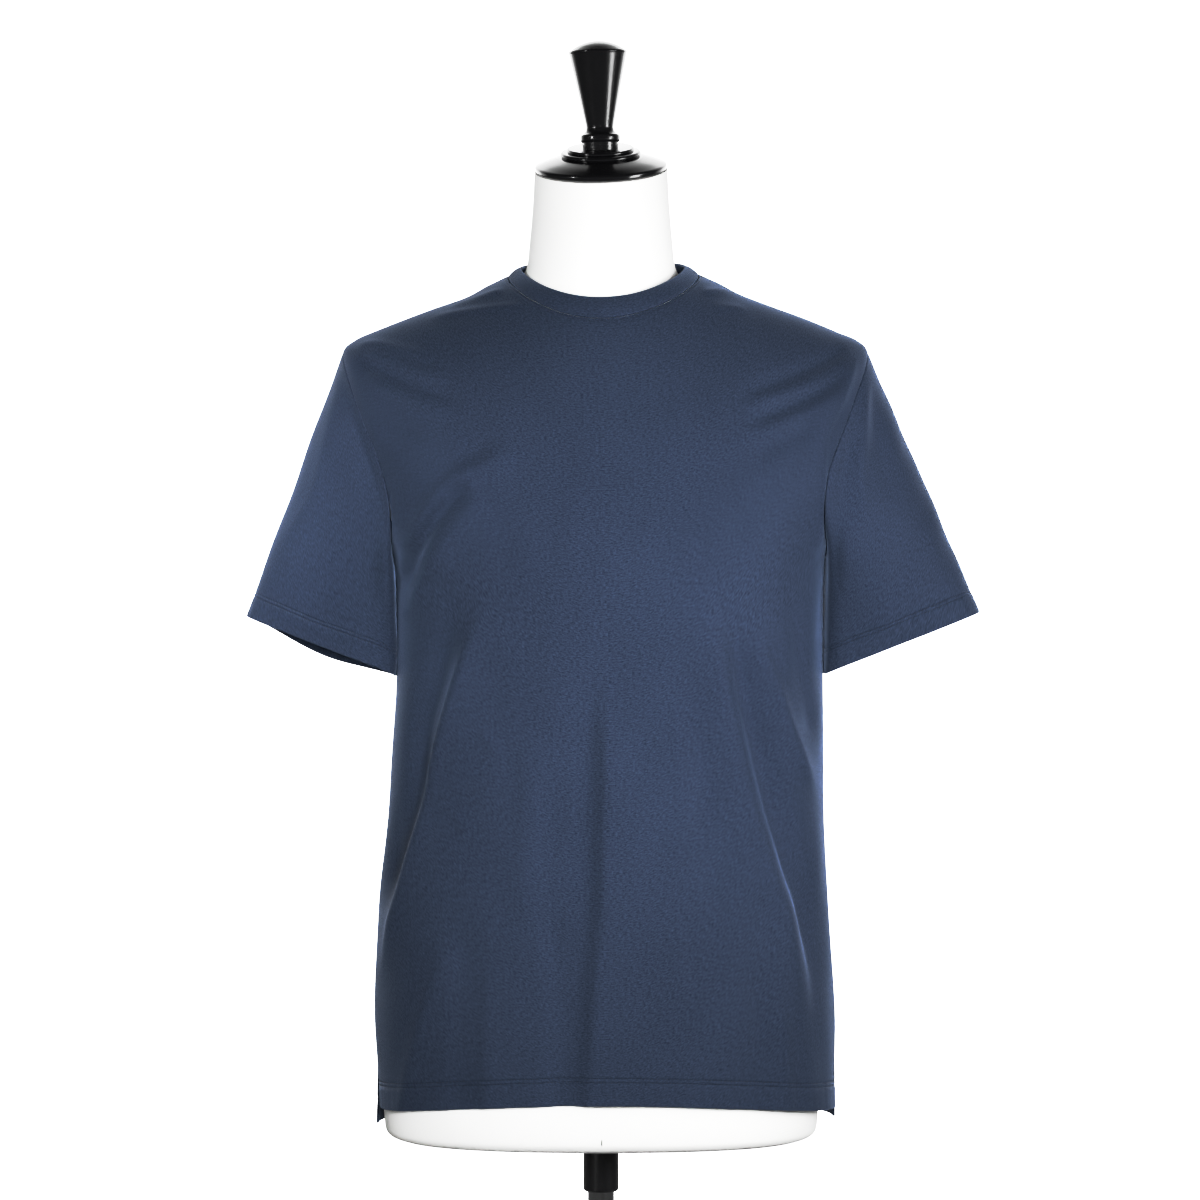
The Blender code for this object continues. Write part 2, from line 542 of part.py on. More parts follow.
def trim(made, seat, up):
    """Cut a placed piece off on the plane through its seat, and close it there."""
    bpy.context.view_layer.update()
    turned_mesh = bpy.data.meshes.new_from_object(made.evaluated_get(bpy.context.evaluated_depsgraph_get()))
    cut = bmesh.new()
    cut.from_mesh(turned_mesh)
    cut.transform(made.matrix_world)
    everything = cut.verts[:] + cut.edges[:] + cut.faces[:]
    found = bmesh.ops.bisect_plane(
        cut, geom=everything, dist=0.000001, plane_co=seat * MM, plane_no=up, clear_inner=True)
    rim = [part for part in found["geom_cut"] if isinstance(part, bmesh.types.BMEdge)]
    bmesh.ops.contextual_create(cut, geom=rim)
    bmesh.ops.recalc_face_normals(cut, faces=cut.faces)
    cut.to_mesh(turned_mesh)
    cut.free()
    made.modifiers.clear()
    made.data = turned_mesh
    made.location = (0.0, 0.0, 0.0)
    made.rotation_euler = (0.0, 0.0, 0.0)


def socket(finish):
    """The black tube under the form: a blind sleeve that turns on the pole."""
    roof = SOCKET_DEPTH - SEAM_GAP
    bore = POLE_RADIUS + RUNNING_GAP
    outline = (
        (0.0, roof), (SOCKET_RADIUS, roof), (SOCKET_RADIUS, SOCKET_BEVEL - SOCKET_DROP),
        (SOCKET_RADIUS - SOCKET_BEVEL, -SOCKET_DROP), (bore, -SOCKET_DROP), (bore, roof - SOCKET_WALL_TOP),
        (0.0, roof - SOCKET_WALL_TOP),
    )
    made = turned("pole_socket", outline, finish)
    made.location = (0.0, 0.0, FORM_FOOT * MM)


def pole(finish):
    """The plated steel tube, plugged into the base's hub."""
    top = FORM_FOOT + SOCKET_DEPTH - SEAM_GAP - SOCKET_WALL_TOP - RUNNING_GAP
    foot = BASE_FLOOR + SEAM_GAP
    outline = (
        (0.0, top), (POLE_RADIUS - POLE_BEVEL, top), (POLE_RADIUS, top - POLE_BEVEL),
        (POLE_RADIUS, foot), (0.0, foot),
    )
    turned("pole", outline, finish)


def stand_base(finish):
    """The round steel plate with its hub."""
    bore = POLE_RADIUS + SEAM_GAP
    socket_for_pole = ((0.0, BASE_FLOOR), (bore, BASE_FLOOR), (bore, BASE_OUTLINE[0][1]))
    turned("stand_base", socket_for_pole + BASE_OUTLINE, finish)


def build():
    jersey = material("navy_jersey", (0.026, 0.043, 0.094), 0.75)
    rib = material("navy_rib", (0.027, 0.045, 0.097), 0.8)
    canvas = material("white_canvas", (0.86, 0.86, 0.84), 0.85)
    lacquer = material("black_lacquer", (0.008, 0.008, 0.009), 0.18)
    tube = material("black_tube", (0.012, 0.012, 0.013), 0.35)
    chrome = material("chrome", (0.75, 0.75, 0.76), 0.08, 1.0)
    plate = material("plated_steel", (0.62, 0.62, 0.63), 0.25, 1.0)

    panel("front_panel", FRONT_HEM, 0.0, jersey)
    panel("back_panel", BACK_HEM, 180.0, jersey)
    for cuff in CUFFS:
        sleeve(cuff, jersey)
    neck_rib(rib)
    dress_form(canvas)
    on_neck(turned("neck_cap", CAP_OUTLINE, lacquer), SEAM_GAP, NECK_LEAN)
    handle = turned("cap_handle", HANDLE_OUTLINE, lacquer)
    seat, up = on_neck(handle, CAP_HEIGHT + 2 * SEAM_GAP, HANDLE_LEAN)
    trim(handle, seat, up)
    socket(tube)
    pole(chrome)
    stand_base(plate)


build()
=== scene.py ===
"""A navy crew neck t-shirt on a limbless canvas dress form, which turns on a pole and round base.

Sizes in the tables are in millimetres. Heights in them are over the underside of the dress form.
X runs to the wearer's left, the front of the shirt faces -Y, and +Z is up.
"""
import math
from collections import defaultdict, namedtuple

import bpy
import numpy as np
from mathutils import Euler, Matrix, Vector


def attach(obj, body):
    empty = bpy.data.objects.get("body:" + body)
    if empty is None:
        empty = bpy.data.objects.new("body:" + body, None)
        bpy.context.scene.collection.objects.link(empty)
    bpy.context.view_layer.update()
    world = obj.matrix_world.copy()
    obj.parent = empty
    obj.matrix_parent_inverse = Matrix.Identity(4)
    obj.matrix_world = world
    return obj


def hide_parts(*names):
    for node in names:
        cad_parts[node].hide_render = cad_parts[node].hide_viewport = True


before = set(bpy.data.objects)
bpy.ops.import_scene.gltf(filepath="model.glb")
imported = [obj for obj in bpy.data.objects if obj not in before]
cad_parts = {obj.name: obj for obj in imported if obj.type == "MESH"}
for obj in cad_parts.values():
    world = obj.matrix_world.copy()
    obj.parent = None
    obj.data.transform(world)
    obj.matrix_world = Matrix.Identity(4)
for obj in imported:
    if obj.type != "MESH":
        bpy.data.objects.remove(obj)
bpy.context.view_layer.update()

MM = 0.001
FORM_FOOT = 260.0  # the form's underside over the floor


# ---------------------------------------------------------------- base, pole and socket
# The foot is a heavy steel plate turned with its hub and satin plated. A chromed tube is pressed
# into the hub, and a tube in semi-gloss black, let into the form's underside, turns on it.
# A turned outline is a row of corners: radius, height, and how far from it the rounding starts.
BASE_OUTLINE = (
    (0, 6, 0), (11.3, 6, 0.2), (11.3, 42, 0.4), (19.5, 42, 0.8), (21, 40.5, 0.8), (21, 17, 4),
    (25, 13.5, 4), (130, 11, 8), (167.5, 9, 3), (170, 6.5, 1.5), (170, 1, 0.5), (169, 0, 0.5),
    (0, 0, 0),
)
POLE_OUTLINE = (
    (0, 336.4, 0), (10, 336.4, 0.6), (11, 335.4, 0.6), (11, 6.3, 0.3), (0, 6.3, 0),
)
SOCKET_OUTLINE = (
    (0, 339.7, 0), (14.75, 339.7, 0.3), (14.75, 216.2, 0.6), (13.55, 215, 0.5), (11.3, 215, 0.3),
    (11.3, 336.7, 0.3), (0, 336.7, 0),
)
TURNED_SIDES = 144
ROUNDING_STEPS = 6
LONGEST_ROUNDING = 0.48  # share of an edge that the rounding of a corner takes at most


def rounded(corners):
    """The points of a turned outline, with each corner eased by a short curve."""
    points = np.array(corners, float)[:, :2]
    outline = [points[0]]
    for before, here, after, corner in zip(points, points[1:], points[2:], corners[1:]):
        back = before - here
        on = after - here
        longest = LONGEST_ROUNDING * min(np.linalg.norm(back), np.linalg.norm(on))
        reach = min(corner[2], longest)
        if reach == 0:
            outline.append(here)
            continue
        start = here + back / np.linalg.norm(back) * reach
        end = here + on / np.linalg.norm(on) * reach
        for step in range(ROUNDING_STEPS + 1):
            part = step / ROUNDING_STEPS
            outline.append(
                start * (1 - part) ** 2 + here * 2 * part * (1 - part) + end * part ** 2)
    outline.append(points[-1])
    return np.array(outline)


def mesh_piece(name, points, faces, texture=None):
    """A smooth object from points in millimetres, faces, and texture places of face corners."""
    mesh = bpy.data.meshes.new(name)
    mesh.from_pydata((np.asarray(points) * MM).tolist(), [], faces)
    if texture is not None:
        layer = mesh.uv_layers.new(name="cloth")
        layer.data.foreach_set("uv", np.asarray(texture, np.float32).ravel())
    mesh.update()
    mesh.shade_smooth()
    made = bpy.data.objects.new(name, mesh)
    bpy.context.scene.collection.objects.link(made)
    return made


def quads(rows, columns, wraps, start=0, flip=False):
    """The quads of a grid of vertices, as an array of four vertex numbers each."""
    row = np.arange(rows - 1)[:, None]
    column = np.arange(columns if wraps else columns - 1)[None]
    beside = (column + 1) % columns
    made = np.stack(np.broadcast_arrays(
        row * columns + column, (row + 1) * columns + column,
        (row + 1) * columns + beside, row * columns + beside), axis=-1).reshape(-1, 4) + start
    return made[:, [0, 3, 2, 1]] if flip else made


def turned(name, corners, seat=None, trim=None):
    """A turned piece on the Z axis, or on a seat given as a matrix in millimetres.

    trim is a point and the direction across a plane, to which the foot is cut off.
    """
    outline = rounded(corners)
    ring = outline[1:-1]
    angles = np.arange(TURNED_SIDES) * 2 * math.pi / TURNED_SIDES
    circle = np.stack([np.cos(angles), np.sin(angles)], axis=-1)
    rings = np.concatenate([
        ring[:, None, :1] * circle[None],
        np.broadcast_to(ring[:, None, 1:], (len(ring), TURNED_SIDES, 1)),
    ], axis=-1).reshape(-1, 3)
    top, foot = len(rings), len(rings) + 1
    points = np.concatenate([rings, [(0, 0, outline[0, 1]), (0, 0, outline[-1, 1])]])
    last = top - TURNED_SIDES
    faces = quads(len(ring), TURNED_SIDES, True).tolist()
    for side in range(TURNED_SIDES):
        beside = (side + 1) % TURNED_SIDES
        faces += [(top, side, beside), (foot, last + beside, last + side)]
    if seat is not None:
        points = points @ np.array(seat.to_3x3()).T + np.array(seat.translation)
    if trim is not None:
        plane_point, across = trim
        axis = np.array(seat.to_3x3())[:, 2]
        cut = np.r_[last:top, foot]
        short = (plane_point - points[cut]) @ across / (axis @ across)
        points[cut] += short[:, None] * axis
    made = mesh_piece(name, points, faces)
    made.data.set_sharp_from_angle(angle=math.radians(60))
    return made


def new_material(name):
    """A material with its node tree and its shader."""
    made = bpy.data.materials.new(name)
    made.use_nodes = True
    return made, made.node_tree, made.node_tree.nodes["Principled BSDF"]


def shader_group(name, inputs, outputs):
    """A shader node group: a vector and numbers go in, and numbers come out."""
    tree = bpy.data.node_groups.new(name, "ShaderNodeTree")
    for labels, way in ((inputs, "INPUT"), (outputs, "OUTPUT")):
        for label in labels.split():
            kind = "NodeSocketVector" if label == "Vector" else "NodeSocketFloat"
            tree.interface.new_socket(
                name=label.replace("_", " "), in_out=way, socket_type=kind)
    return tree, tree.nodes.new("NodeGroupInput").outputs, tree.nodes.new("NodeGroupOutput")


def feed(socket, value):
    """Gives an input its number or colour, or links it to another node's output."""
    if isinstance(value, bpy.types.NodeSocket):
        socket.id_data.links.new(value, socket)
    else:
        socket.default_value = value


def put(node, **values):
    """Feeds a node's inputs by their names."""
    for label, value in values.items():
        feed(node.inputs[label.replace("_", " ")], value)
    return node


def maths(tree, operation, *values, kind="ShaderNodeMath"):
    """A Math or Vector Math node fed by sockets or numbers."""
    node = tree.nodes.new(kind)
    node.operation = operation
    for socket, value in zip(node.inputs, values):
        feed(socket, value)
    return node.outputs[0]


def clamped(tree, value, factor, added):
    """A value multiplied and added to, and held between 0 and 1."""
    raw = maths(tree, "MULTIPLY_ADD", value, factor, added)
    return maths(tree, "MINIMUM", maths(tree, "MAXIMUM", raw, 0.0), 1.0)


def noise(tree, vector, scale, detail=2.0, roughness=0.5):
    """A Noise texture's value."""
    node = tree.nodes.new("ShaderNodeTexNoise")
    put(node, Vector=vector, Scale=scale, Detail=detail, Roughness=roughness)
    return node.outputs["Fac"]


def stretched(tree, vector, factors):
    """A vector scaled along each axis."""
    return maths(tree, "MULTIPLY", vector, factors, kind="ShaderNodeVectorMath")


def axes_of(tree, vector):
    """The X, Y and Z of a vector."""
    return put(tree.nodes.new("ShaderNodeSeparateXYZ"), Vector=vector).outputs


def blend(tree, factor, first, second):
    """A colour between two others."""
    node = tree.nodes.new("ShaderNodeMix")
    node.data_type = "RGBA"
    return put(node, Factor=factor, A=(*first, 1.0), B=(*second, 1.0)).outputs["Result"]


def place_vector(tree, output):
    """The Object or UV output of a Texture Coordinate node."""
    return tree.nodes.new("ShaderNodeTexCoord").outputs[output]


def bump(tree, shader, height, strength, distance):
    """A Bump node between a height and a shader's normal."""
    node = tree.nodes.new("ShaderNodeBump")
    put(node, Strength=strength, Distance=distance, Height=height)
    put(shader, Normal=node.outputs["Normal"])


def use_group(tree, group, **values):
    """A group placed in a material and fed; gives its outputs."""
    node = tree.nodes.new("ShaderNodeGroup")
    node.node_tree = group
    return put(node, **values).outputs


def smudge_group():
    """Handling marks on hard finishes: a soft change of roughness, and a fine surface wave."""
    tree, given, result = shader_group(
        "handling_marks", "Vector Roughness Change Wave_size", "Roughness Height")
    cloudy = noise(tree, given["Vector"], 42.0, 4.0, 0.6)
    change = maths(tree, "MULTIPLY", maths(tree, "SUBTRACT", cloudy, 0.5), given["Change"])
    wave = noise(tree, given["Vector"], given["Wave size"], 1.0, 0.4)
    put(result, Roughness=maths(tree, "ADD", given["Roughness"], change), Height=wave)
    return tree


HANDLING_MARKS = smudge_group()
RING_SCALE = 420.0


def hard_finish(name, colour, metallic, roughness, change, wave_size, wave_depth, rings=0.0):
    """A polished or painted finish: faint handling marks, and any rings that turning leaves."""
    made, tree, shader = new_material(name)
    marks = use_group(tree, HANDLING_MARKS, Vector=place_vector(tree, "Object"),
                      Roughness=roughness, Change=change, Wave_size=wave_size)
    height = marks["Height"]
    if rings:
        turning = tree.nodes.new("ShaderNodeTexWave")
        turning.wave_type = "RINGS"
        turning.rings_direction = "Z"
        put(turning, Vector=place_vector(tree, "Object"), Scale=RING_SCALE, Distortion=0.6)
        height = maths(tree, "ADD", height,
                       maths(tree, "MULTIPLY", turning.outputs["Fac"], rings))
    put(shader, Base_Color=(*colour, 1.0), Metallic=metallic, Roughness=marks["Roughness"])
    bump(tree, shader, height, 1.0, wave_depth)
    return made, shader


def finish_piece(made, surface, body, slot, *nodes):
    """Gives a piece its material and the body it rides on, and hides the solids it stands for. The
    slot is not used.
    """
    made.data.materials.append(surface)
    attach(made, body)
    if nodes:
        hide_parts(*nodes)
    return made


# Each finish: colour, metallic, roughness and its change, size and depth of the surface's wave.
steel = hard_finish("plated_steel", (0.60, 0.60, 0.61), 1.0, 0.3, 0.12, 220.0, 0.00002, 0.25)[0]
finish_piece(turned("base_plate", BASE_OUTLINE), steel, "stand", "plated_steel", "stand_base")

chrome = hard_finish("chrome", (0.55, 0.55, 0.56), 1.0, 0.07, 0.06, 160.0, 0.000004)[0]
finish_piece(turned("pole_tube", POLE_OUTLINE), chrome, "stand", "chrome", "pole")

black = hard_finish("black_tube", (0.010, 0.010, 0.011), 0.0, 0.32, 0.1, 900.0, 0.00001)[0]
finish_piece(turned("socket_tube", SOCKET_OUTLINE), black, "bust", "black_tube", "pole_socket")


# ---------------------------------------------------------------- dress form
# A moulded torso without limbs, padded and covered tight in off-white canvas. The neck is cut on a
# slope for the cap, and three dark tacks hold the canvas at the lower edge.
# A ring is one level section. left and right are its half widths at -X and +X, reached at side_y
# and side_h. front and back are its points at x = 0. square rounds it from 2 (ellipse) upwards.
# lean is the slope of its plane from front to back at the sides, and roll its slope along X.
Ring = namedtuple(
    "Ring", "name left right side_y side_h front_y front_h back_y back_h square lean roll",
    defaults=(0, 0))

NECK_LEAN = math.tan(math.radians(17.0))
NECK_ROLL = math.tan(math.radians(1.6))
NECK_TOP_Y = -18.0
NECK_TOP_H = 813.0
FORM = [Ring(*row) for row in (
    ("neck top", 55.5, 55.5, NECK_TOP_Y, NECK_TOP_H, -75.5, NECK_TOP_H - 57.5 * NECK_LEAN, 39.5,
     NECK_TOP_H + 57.5 * NECK_LEAN, 2, NECK_LEAN, NECK_ROLL),
    ("upper neck", 57.2, 57.2, -14, 782.5, -74, 767.5, 46, 801.5, 2, 0.27, 0.02),
    ("lower neck", 59.8, 59.8, -9, 753.5, -71.5, 737.5, 54, 771.5, 2, 0.25, 0.01),
    ("neck base", 62.5, 62.5, -5, 732.5, -69, 707.5, 61, 744.5, 2, 0.22),
    ("neck root", 70, 70, -3, 722.5, -73.5, 688.5, 71, 728.5, 2.05, 0.18),
    ("collar bone", 92, 92, 0, 713.5, -85.5, 666.5, 89, 717.5, 2.1, 0.10),
    ("upper shoulder", 111, 111, 3, 704, -93.5, 644.5, 99.5, 701.5, 2.15, 0.04),
    ("mid shoulder", 138, 138, 4, 694, -102.5, 614.5, 109.5, 676.5, 2.2),
    ("outer shoulder", 166, 166, 4, 683.5, -110.5, 583.5, 116.5, 646.5, 2.25),
    ("shoulder edge", 188, 188, 4, 674, -115.5, 552.5, 120.5, 613.5, 2.3),
    ("shoulder tip", 200, 200, 3, 663.5, -117.5, 528.5, 121.5, 586.5, 2.3),
    ("shoulder end", 205, 205, 2, 643.5, -118.5, 507.5, 121.5, 563.5, 2.3),
    ("arm plate", 202, 202, 0, 609.5, -118.5, 489.5, 120, 540.5, 2.3),
    ("upper side", 194, 194, -2, 572.5, -118, 472.5, 118, 515.5, 2.3),
    ("chest side", 182, 182, -3, 535.5, -117, 455.5, 115, 491.5, 2.3),
    ("underarm", 170, 170, -2, 500.5, -115.5, 437.5, 111, 465.5, 2.35),
    ("ribs", 161, 161, 0, 450.5, -112, 405.5, 105, 427.5, 2.35),
    ("above waist", 154, 154, 0, 395.5, -108, 370.5, 98, 385.5, 2.3),
    ("waist", 150, 150, 1, 340.5, -105, 330.5, 92, 335.5, 2.3),
    ("below waist", 152, 152, 2, 285.5, -104, 280.5, 94, 283.5, 2.3),
    ("upper hip", 161, 161, 3, 230.5, -106, 227.5, 103, 229.5, 2.35),
    ("hip", 173, 173, 4, 165.5, -109.5, 165.5, 115, 165.5, 2.4),
    ("seat", 181.5, 181.5, 5, 95.5, -112, 95.5, 122, 95.5, 2.4),
    ("lower seat", 182.8, 182.8, 6, 40.5, -112, 40.5, 123, 40.5, 2.4),
    ("foot edge", 182, 182, 6, 12.5, -110.5, 12.5, 121.5, 12.5, 2.4),
    ("foot corner", 178, 178, 6, 4, -106.5, 4, 117.5, 4, 2.4),
    ("underside", 168, 168, 6, 0, -96.5, 0, 107.5, 0, 2.4),
)]
FORM_SIDES = 168
FORM_ROWS_PER_RING = 6
UNDERSIDE_ROWS = 12
HOLE_RADIUS = 15.1  # the hole for the socket tube
HOLE_DEPTH = 80.0


def smooth_through(rows, where):
    """Places on smooth curves through the rows of a table, at whole or part row numbers."""
    table = np.array(rows, float)
    last = len(table) - 1
    start = np.clip(np.floor(where).astype(int), 0, last - 1)
    part = (where - start)[..., None]
    before, here, there, after = (table[np.clip(start + step, 0, last)] for step in (-1, 0, 1, 2))
    leaving = (there - before) / 2
    arriving = (after - here) / 2
    bend = 3 * (there - here) - 2 * leaving - arriving
    ease = leaving + arriving - 2 * (there - here)
    return here + part * (leaving + part * (bend + part * ease))


def rings_at(rings, level):
    """Rings at any levels of a table, on smooth curves through its rows."""
    return smooth_through([ring[1:] for ring in rings], level)


def squared_circle(angle, square):
    """Sine, cosine and reach round a circle that square makes more square from 2 upwards."""
    sine = np.sin(angle)
    cosine = np.cos(angle)
    return sine, cosine, (np.abs(sine) ** square + np.abs(cosine) ** square) ** (-1 / square)


def ring_points(ring, turn):
    """The points of rings at turns in degrees: 0 centre front, 90 at +X, 180 centre back."""
    parts = np.moveaxis(np.asarray(ring, float), -1, 0)
    left, right, side_y, side_h, front_y, front_h, back_y, back_h, square, lean, roll = parts
    sine, cosine, reach = squared_circle(np.radians(turn), square)
    end_y = np.where(cosine > 0, front_y, back_y)
    end_h = np.where(cosine > 0, front_h, back_h)
    x = np.where(sine > 0, right, left) * sine * reach
    depth = (end_y - side_y) * np.abs(cosine) * reach
    fall = end_h - side_h - lean * (end_y - side_y)
    height = side_h + lean * depth + roll * x + fall * cosine ** 2
    return np.stack([x, side_y + depth, height], axis=-1)


def lengths(points, axis):
    """How far each point of a grid lies along its row (axis 1) or down its column (axis 0)."""
    steps = np.linalg.norm(np.diff(points, axis=axis), axis=-1)
    total = np.cumsum(steps, axis=axis)
    return np.concatenate([np.zeros_like(np.take(total, [0], axis=axis)), total], axis=axis)


def closed(grid):
    """A grid that goes all round, with its first column repeated after its last."""
    return np.concatenate([grid, grid[:, :1]], axis=1)


def corner_places(places):
    """The texture places of every quad's corners, from a grid of places one column wider."""
    return np.stack([places[:-1, :-1], places[1:, :-1], places[1:, 1:], places[:-1, 1:]],
                    axis=2).reshape(-1, 4, 2)


CANVAS_THREAD = 0.0007  # metres from one thread to the next


def canvas():
    """Plain-weave cotton canvas: over and under threads, a little uneven."""
    made, tree, shader = new_material("white_canvas")
    cloth = place_vector(tree, "UV")
    place = axes_of(tree, cloth)
    warp = maths(tree, "SINE", maths(tree, "MULTIPLY", place["X"], math.pi / CANVAS_THREAD))
    weft = maths(tree, "SINE", maths(tree, "MULTIPLY", place["Y"], math.pi / CANVAS_THREAD))
    weave = maths(tree, "MULTIPLY", warp, weft)
    uneven = noise(tree, stretched(tree, cloth, (1400.0, 180.0, 1.0)), 1.0, 2.0, 0.6)
    bump(tree, shader, maths(tree, "ADD", weave, uneven), 0.35, 0.00009)
    cloudy = noise(tree, cloth, 14.0, 3.0, 0.55)
    tone = maths(tree, "MULTIPLY_ADD", weave, 0.15, cloudy)
    put(shader, Base_Color=blend(tree, tone, (0.87, 0.87, 0.855), (0.92, 0.92, 0.905)),
        Roughness=0.82, Specular_IOR_Level=0.3, Sheen_Weight=0.08, Sheen_Roughness=0.4)
    return made


def form_mesh():
    """The torso: rings from the neck down, then the flat underside and the hole for the socket."""
    last = len(FORM) - 1
    levels = np.linspace(0, last, last * FORM_ROWS_PER_RING + 1)
    turns = np.arange(FORM_SIDES) * 360.0 / FORM_SIDES
    side = ring_points(rings_at(FORM, levels)[:, None], turns[None])
    edge = side[-1]
    angles = np.radians(turns)
    hole = np.stack([np.sin(angles), -np.cos(angles), 0 * angles], axis=-1) * HOLE_RADIUS
    parts = np.linspace(0, 1, UNDERSIDE_ROWS + 1)[1:, None, None]
    under = edge * (1 - parts) + hole * parts
    bore = hole + np.array([[0, 0, HOLE_DEPTH / 2]]), hole + np.array([[0, 0, HOLE_DEPTH]])
    grid = np.concatenate([side, under, np.array(bore)])
    grid[..., 2] += FORM_FOOT
    rows = len(grid)
    faces = quads(rows, FORM_SIDES, True).tolist()
    around = closed(grid)
    places = np.stack([lengths(around, 1), -lengths(around, 0)], axis=-1) * MM
    texture = corner_places(places).reshape(-1, 2)
    top = list(range(FORM_SIDES))
    roof = [(rows - 1) * FORM_SIDES + side for side in range(FORM_SIDES)][::-1]
    caps = np.concatenate([grid[0, :, :2], grid[-1, ::-1, :2]]) * MM
    return grid.reshape(-1, 3), faces + [top, roof], np.concatenate([texture, caps])


form = mesh_piece("canvas_form", *form_mesh())
form.data.set_sharp_from_angle(angle=math.radians(55))
finish_piece(form, canvas(), "bust", "white_canvas", "dress_form")

# Each tack: its name, its place across, and the heights of its ends.
TACKS = (
    ("tack_right", -109.0, 15.6, 9.0),
    ("tack_centre", 0.6, 13.4, 7.2),
    ("tack_left", 102.0, 16.4, 10.2),
)
TACK_RADIUS = 0.42
TACK_POINTS = 9
TACK_RISE = 1.3  # in radii: how far its middle rises over its ends, and its ends sink in
TACK_SINK = 0.9
STRAND_TIP = 0.06
STRAND_TAPER = 1.8
OFF_TACKS = (0.31, -0.93, 0.2)  # a direction that no tack runs in
TACK_LEVELS = np.linspace(22, 25.5, 141)  # rows of FORM that the tacks lie on, and between
LOWER_SEAT = 23  # row of FORM that is widest near the tacks


def unit(vectors):
    return vectors / np.linalg.norm(vectors, axis=-1, keepdims=True)


def strand(path, radius, sides=8):
    """Points and faces of a thread along a path, its ends drawn in to points."""
    along = unit(np.gradient(path, axis=0))
    aside = unit(np.cross(along, OFF_TACKS))
    lift = np.cross(along, aside)
    ends = np.sin(np.linspace(STRAND_TIP, math.pi - STRAND_TIP, len(path)))
    thick = (radius * np.minimum(1.0, ends * STRAND_TAPER))[:, None, None]
    angles = (np.arange(sides) * 2 * math.pi / sides)[None, :, None]
    circle = np.cos(angles) * aside[:, None] + np.sin(angles) * lift[:, None]
    points = (path[:, None] + circle * thick).reshape(-1, 3)
    faces = quads(len(path), sides, True, flip=True).tolist()
    last = (len(path) - 1) * sides
    return points, faces + [list(range(sides)), list(range(last, last + sides))[::-1]]


def tack_path(x, top, bottom):
    """A tack's path: down the canvas, just proud of it, and into it at both ends."""
    heights = np.linspace(top, bottom, TACK_POINTS)
    turn = math.degrees(math.asin(x / FORM[LOWER_SEAT].right))
    down = ring_points(rings_at(FORM, TACK_LEVELS), np.full(len(TACK_LEVELS), turn))
    depth = np.interp(-heights, -down[:, 2], down[:, 1])
    rise = TACK_RISE * np.sin(np.linspace(0, math.pi, TACK_POINTS))
    proud = TACK_RADIUS * (rise - TACK_SINK)
    return np.stack([np.full(TACK_POINTS, x), depth - proud, heights + FORM_FOOT], axis=-1)


tack_thread, tree, shader = new_material("tack_thread")
twist = noise(tree, stretched(tree, place_vector(tree, "Object"), (900, 900, 3000)), 1.0)
put(shader, Base_Color=(0.05, 0.05, 0.055, 1.0),
    Roughness=maths(tree, "MULTIPLY_ADD", twist, 0.3, 0.5))
bump(tree, shader, twist, 0.6, 0.0001)
for name, *place in TACKS:
    tack = mesh_piece(name, *strand(tack_path(*place), TACK_RADIUS))
    finish_piece(tack, tack_thread, "bust", "white_canvas")


# ---------------------------------------------------------------- neck cap and handle
# Beech turned in two pieces and lacquered gloss black: a stepped cap that covers the cut neck, and
# a flared handle screwed into it. Both lean forward with the neck.
CAP_OUTLINE = (
    (0, 18.6, 0), (27.2, 18.6, 0.5), (28.2, 17.8, 0.6), (28.2, 16.5, 0.5), (27.6, 15.8, 0.2),
    (32.6, 15.6, 1.2), (34, 14.3, 1.2), (33.6, 12.6, 0.8), (32.4, 11.8, 0.3), (36, 11.2, 1.2),
    (46, 8.2, 5), (54.2, 4.8, 1.2), (55.5, 3.8, 0.9), (55.5, 0.9, 0.6), (54.6, 0, 0.4), (0, 0, 0),
)
HANDLE_OUTLINE = (
    (0, 88.6, 0), (9, 87.6, 5), (17.5, 84.3, 5), (24.2, 79.7, 1), (24.8, 78.7, 0.6),
    (24.2, 77.3, 0.8), (17.7, 47, 14), (11.8, 17.8, 3), (11.6, 15.8, 1), (12.2, 13.3, 1),
    (14.2, 11.2, 1), (16.3, 10.2, 1), (16.9, 8.8, 1), (16.9, 6, 1), (16.2, 4.6, 0.6),
    (15.3, 3.9, 0.4), (14.8, -6, 0), (0, -6, 0),
)
SEAT_GAP = 0.3
CAP_HEIGHT = 18.6
HANDLE_LEAN = math.tan(math.radians(4.3))  # the handle stands more upright than the cap


def leaning(lean):
    """The direction of an axis that leans forward, and a little to the side as the neck does."""
    axis = np.array([-NECK_ROLL, -lean, 1.0])
    return axis / np.linalg.norm(axis)


def neck_seat(height, lean):
    """The matrix for a piece at a height over the neck on the cap's axis, in millimetres."""
    foot = np.array([0.0, NECK_TOP_Y, FORM_FOOT + NECK_TOP_H]) + leaning(NECK_LEAN) * height
    axis = leaning(lean)
    turn = Euler((math.asin(-axis[1]), math.atan2(axis[0], axis[2]), 0.0)).to_matrix().to_4x4()
    return Matrix.Translation(foot) @ turn


def lacquer(name, roughness, wave_size, wave_depth):
    """Black lacquer under a clear top coat. Its skin waves, more on the hand-sprayed handle."""
    made, shader = hard_finish(
        name, (0.007, 0.007, 0.008), 0.0, roughness, 0.05, wave_size, wave_depth)
    put(shader, Coat_Weight=0.5, Coat_Roughness=0.06)
    return made


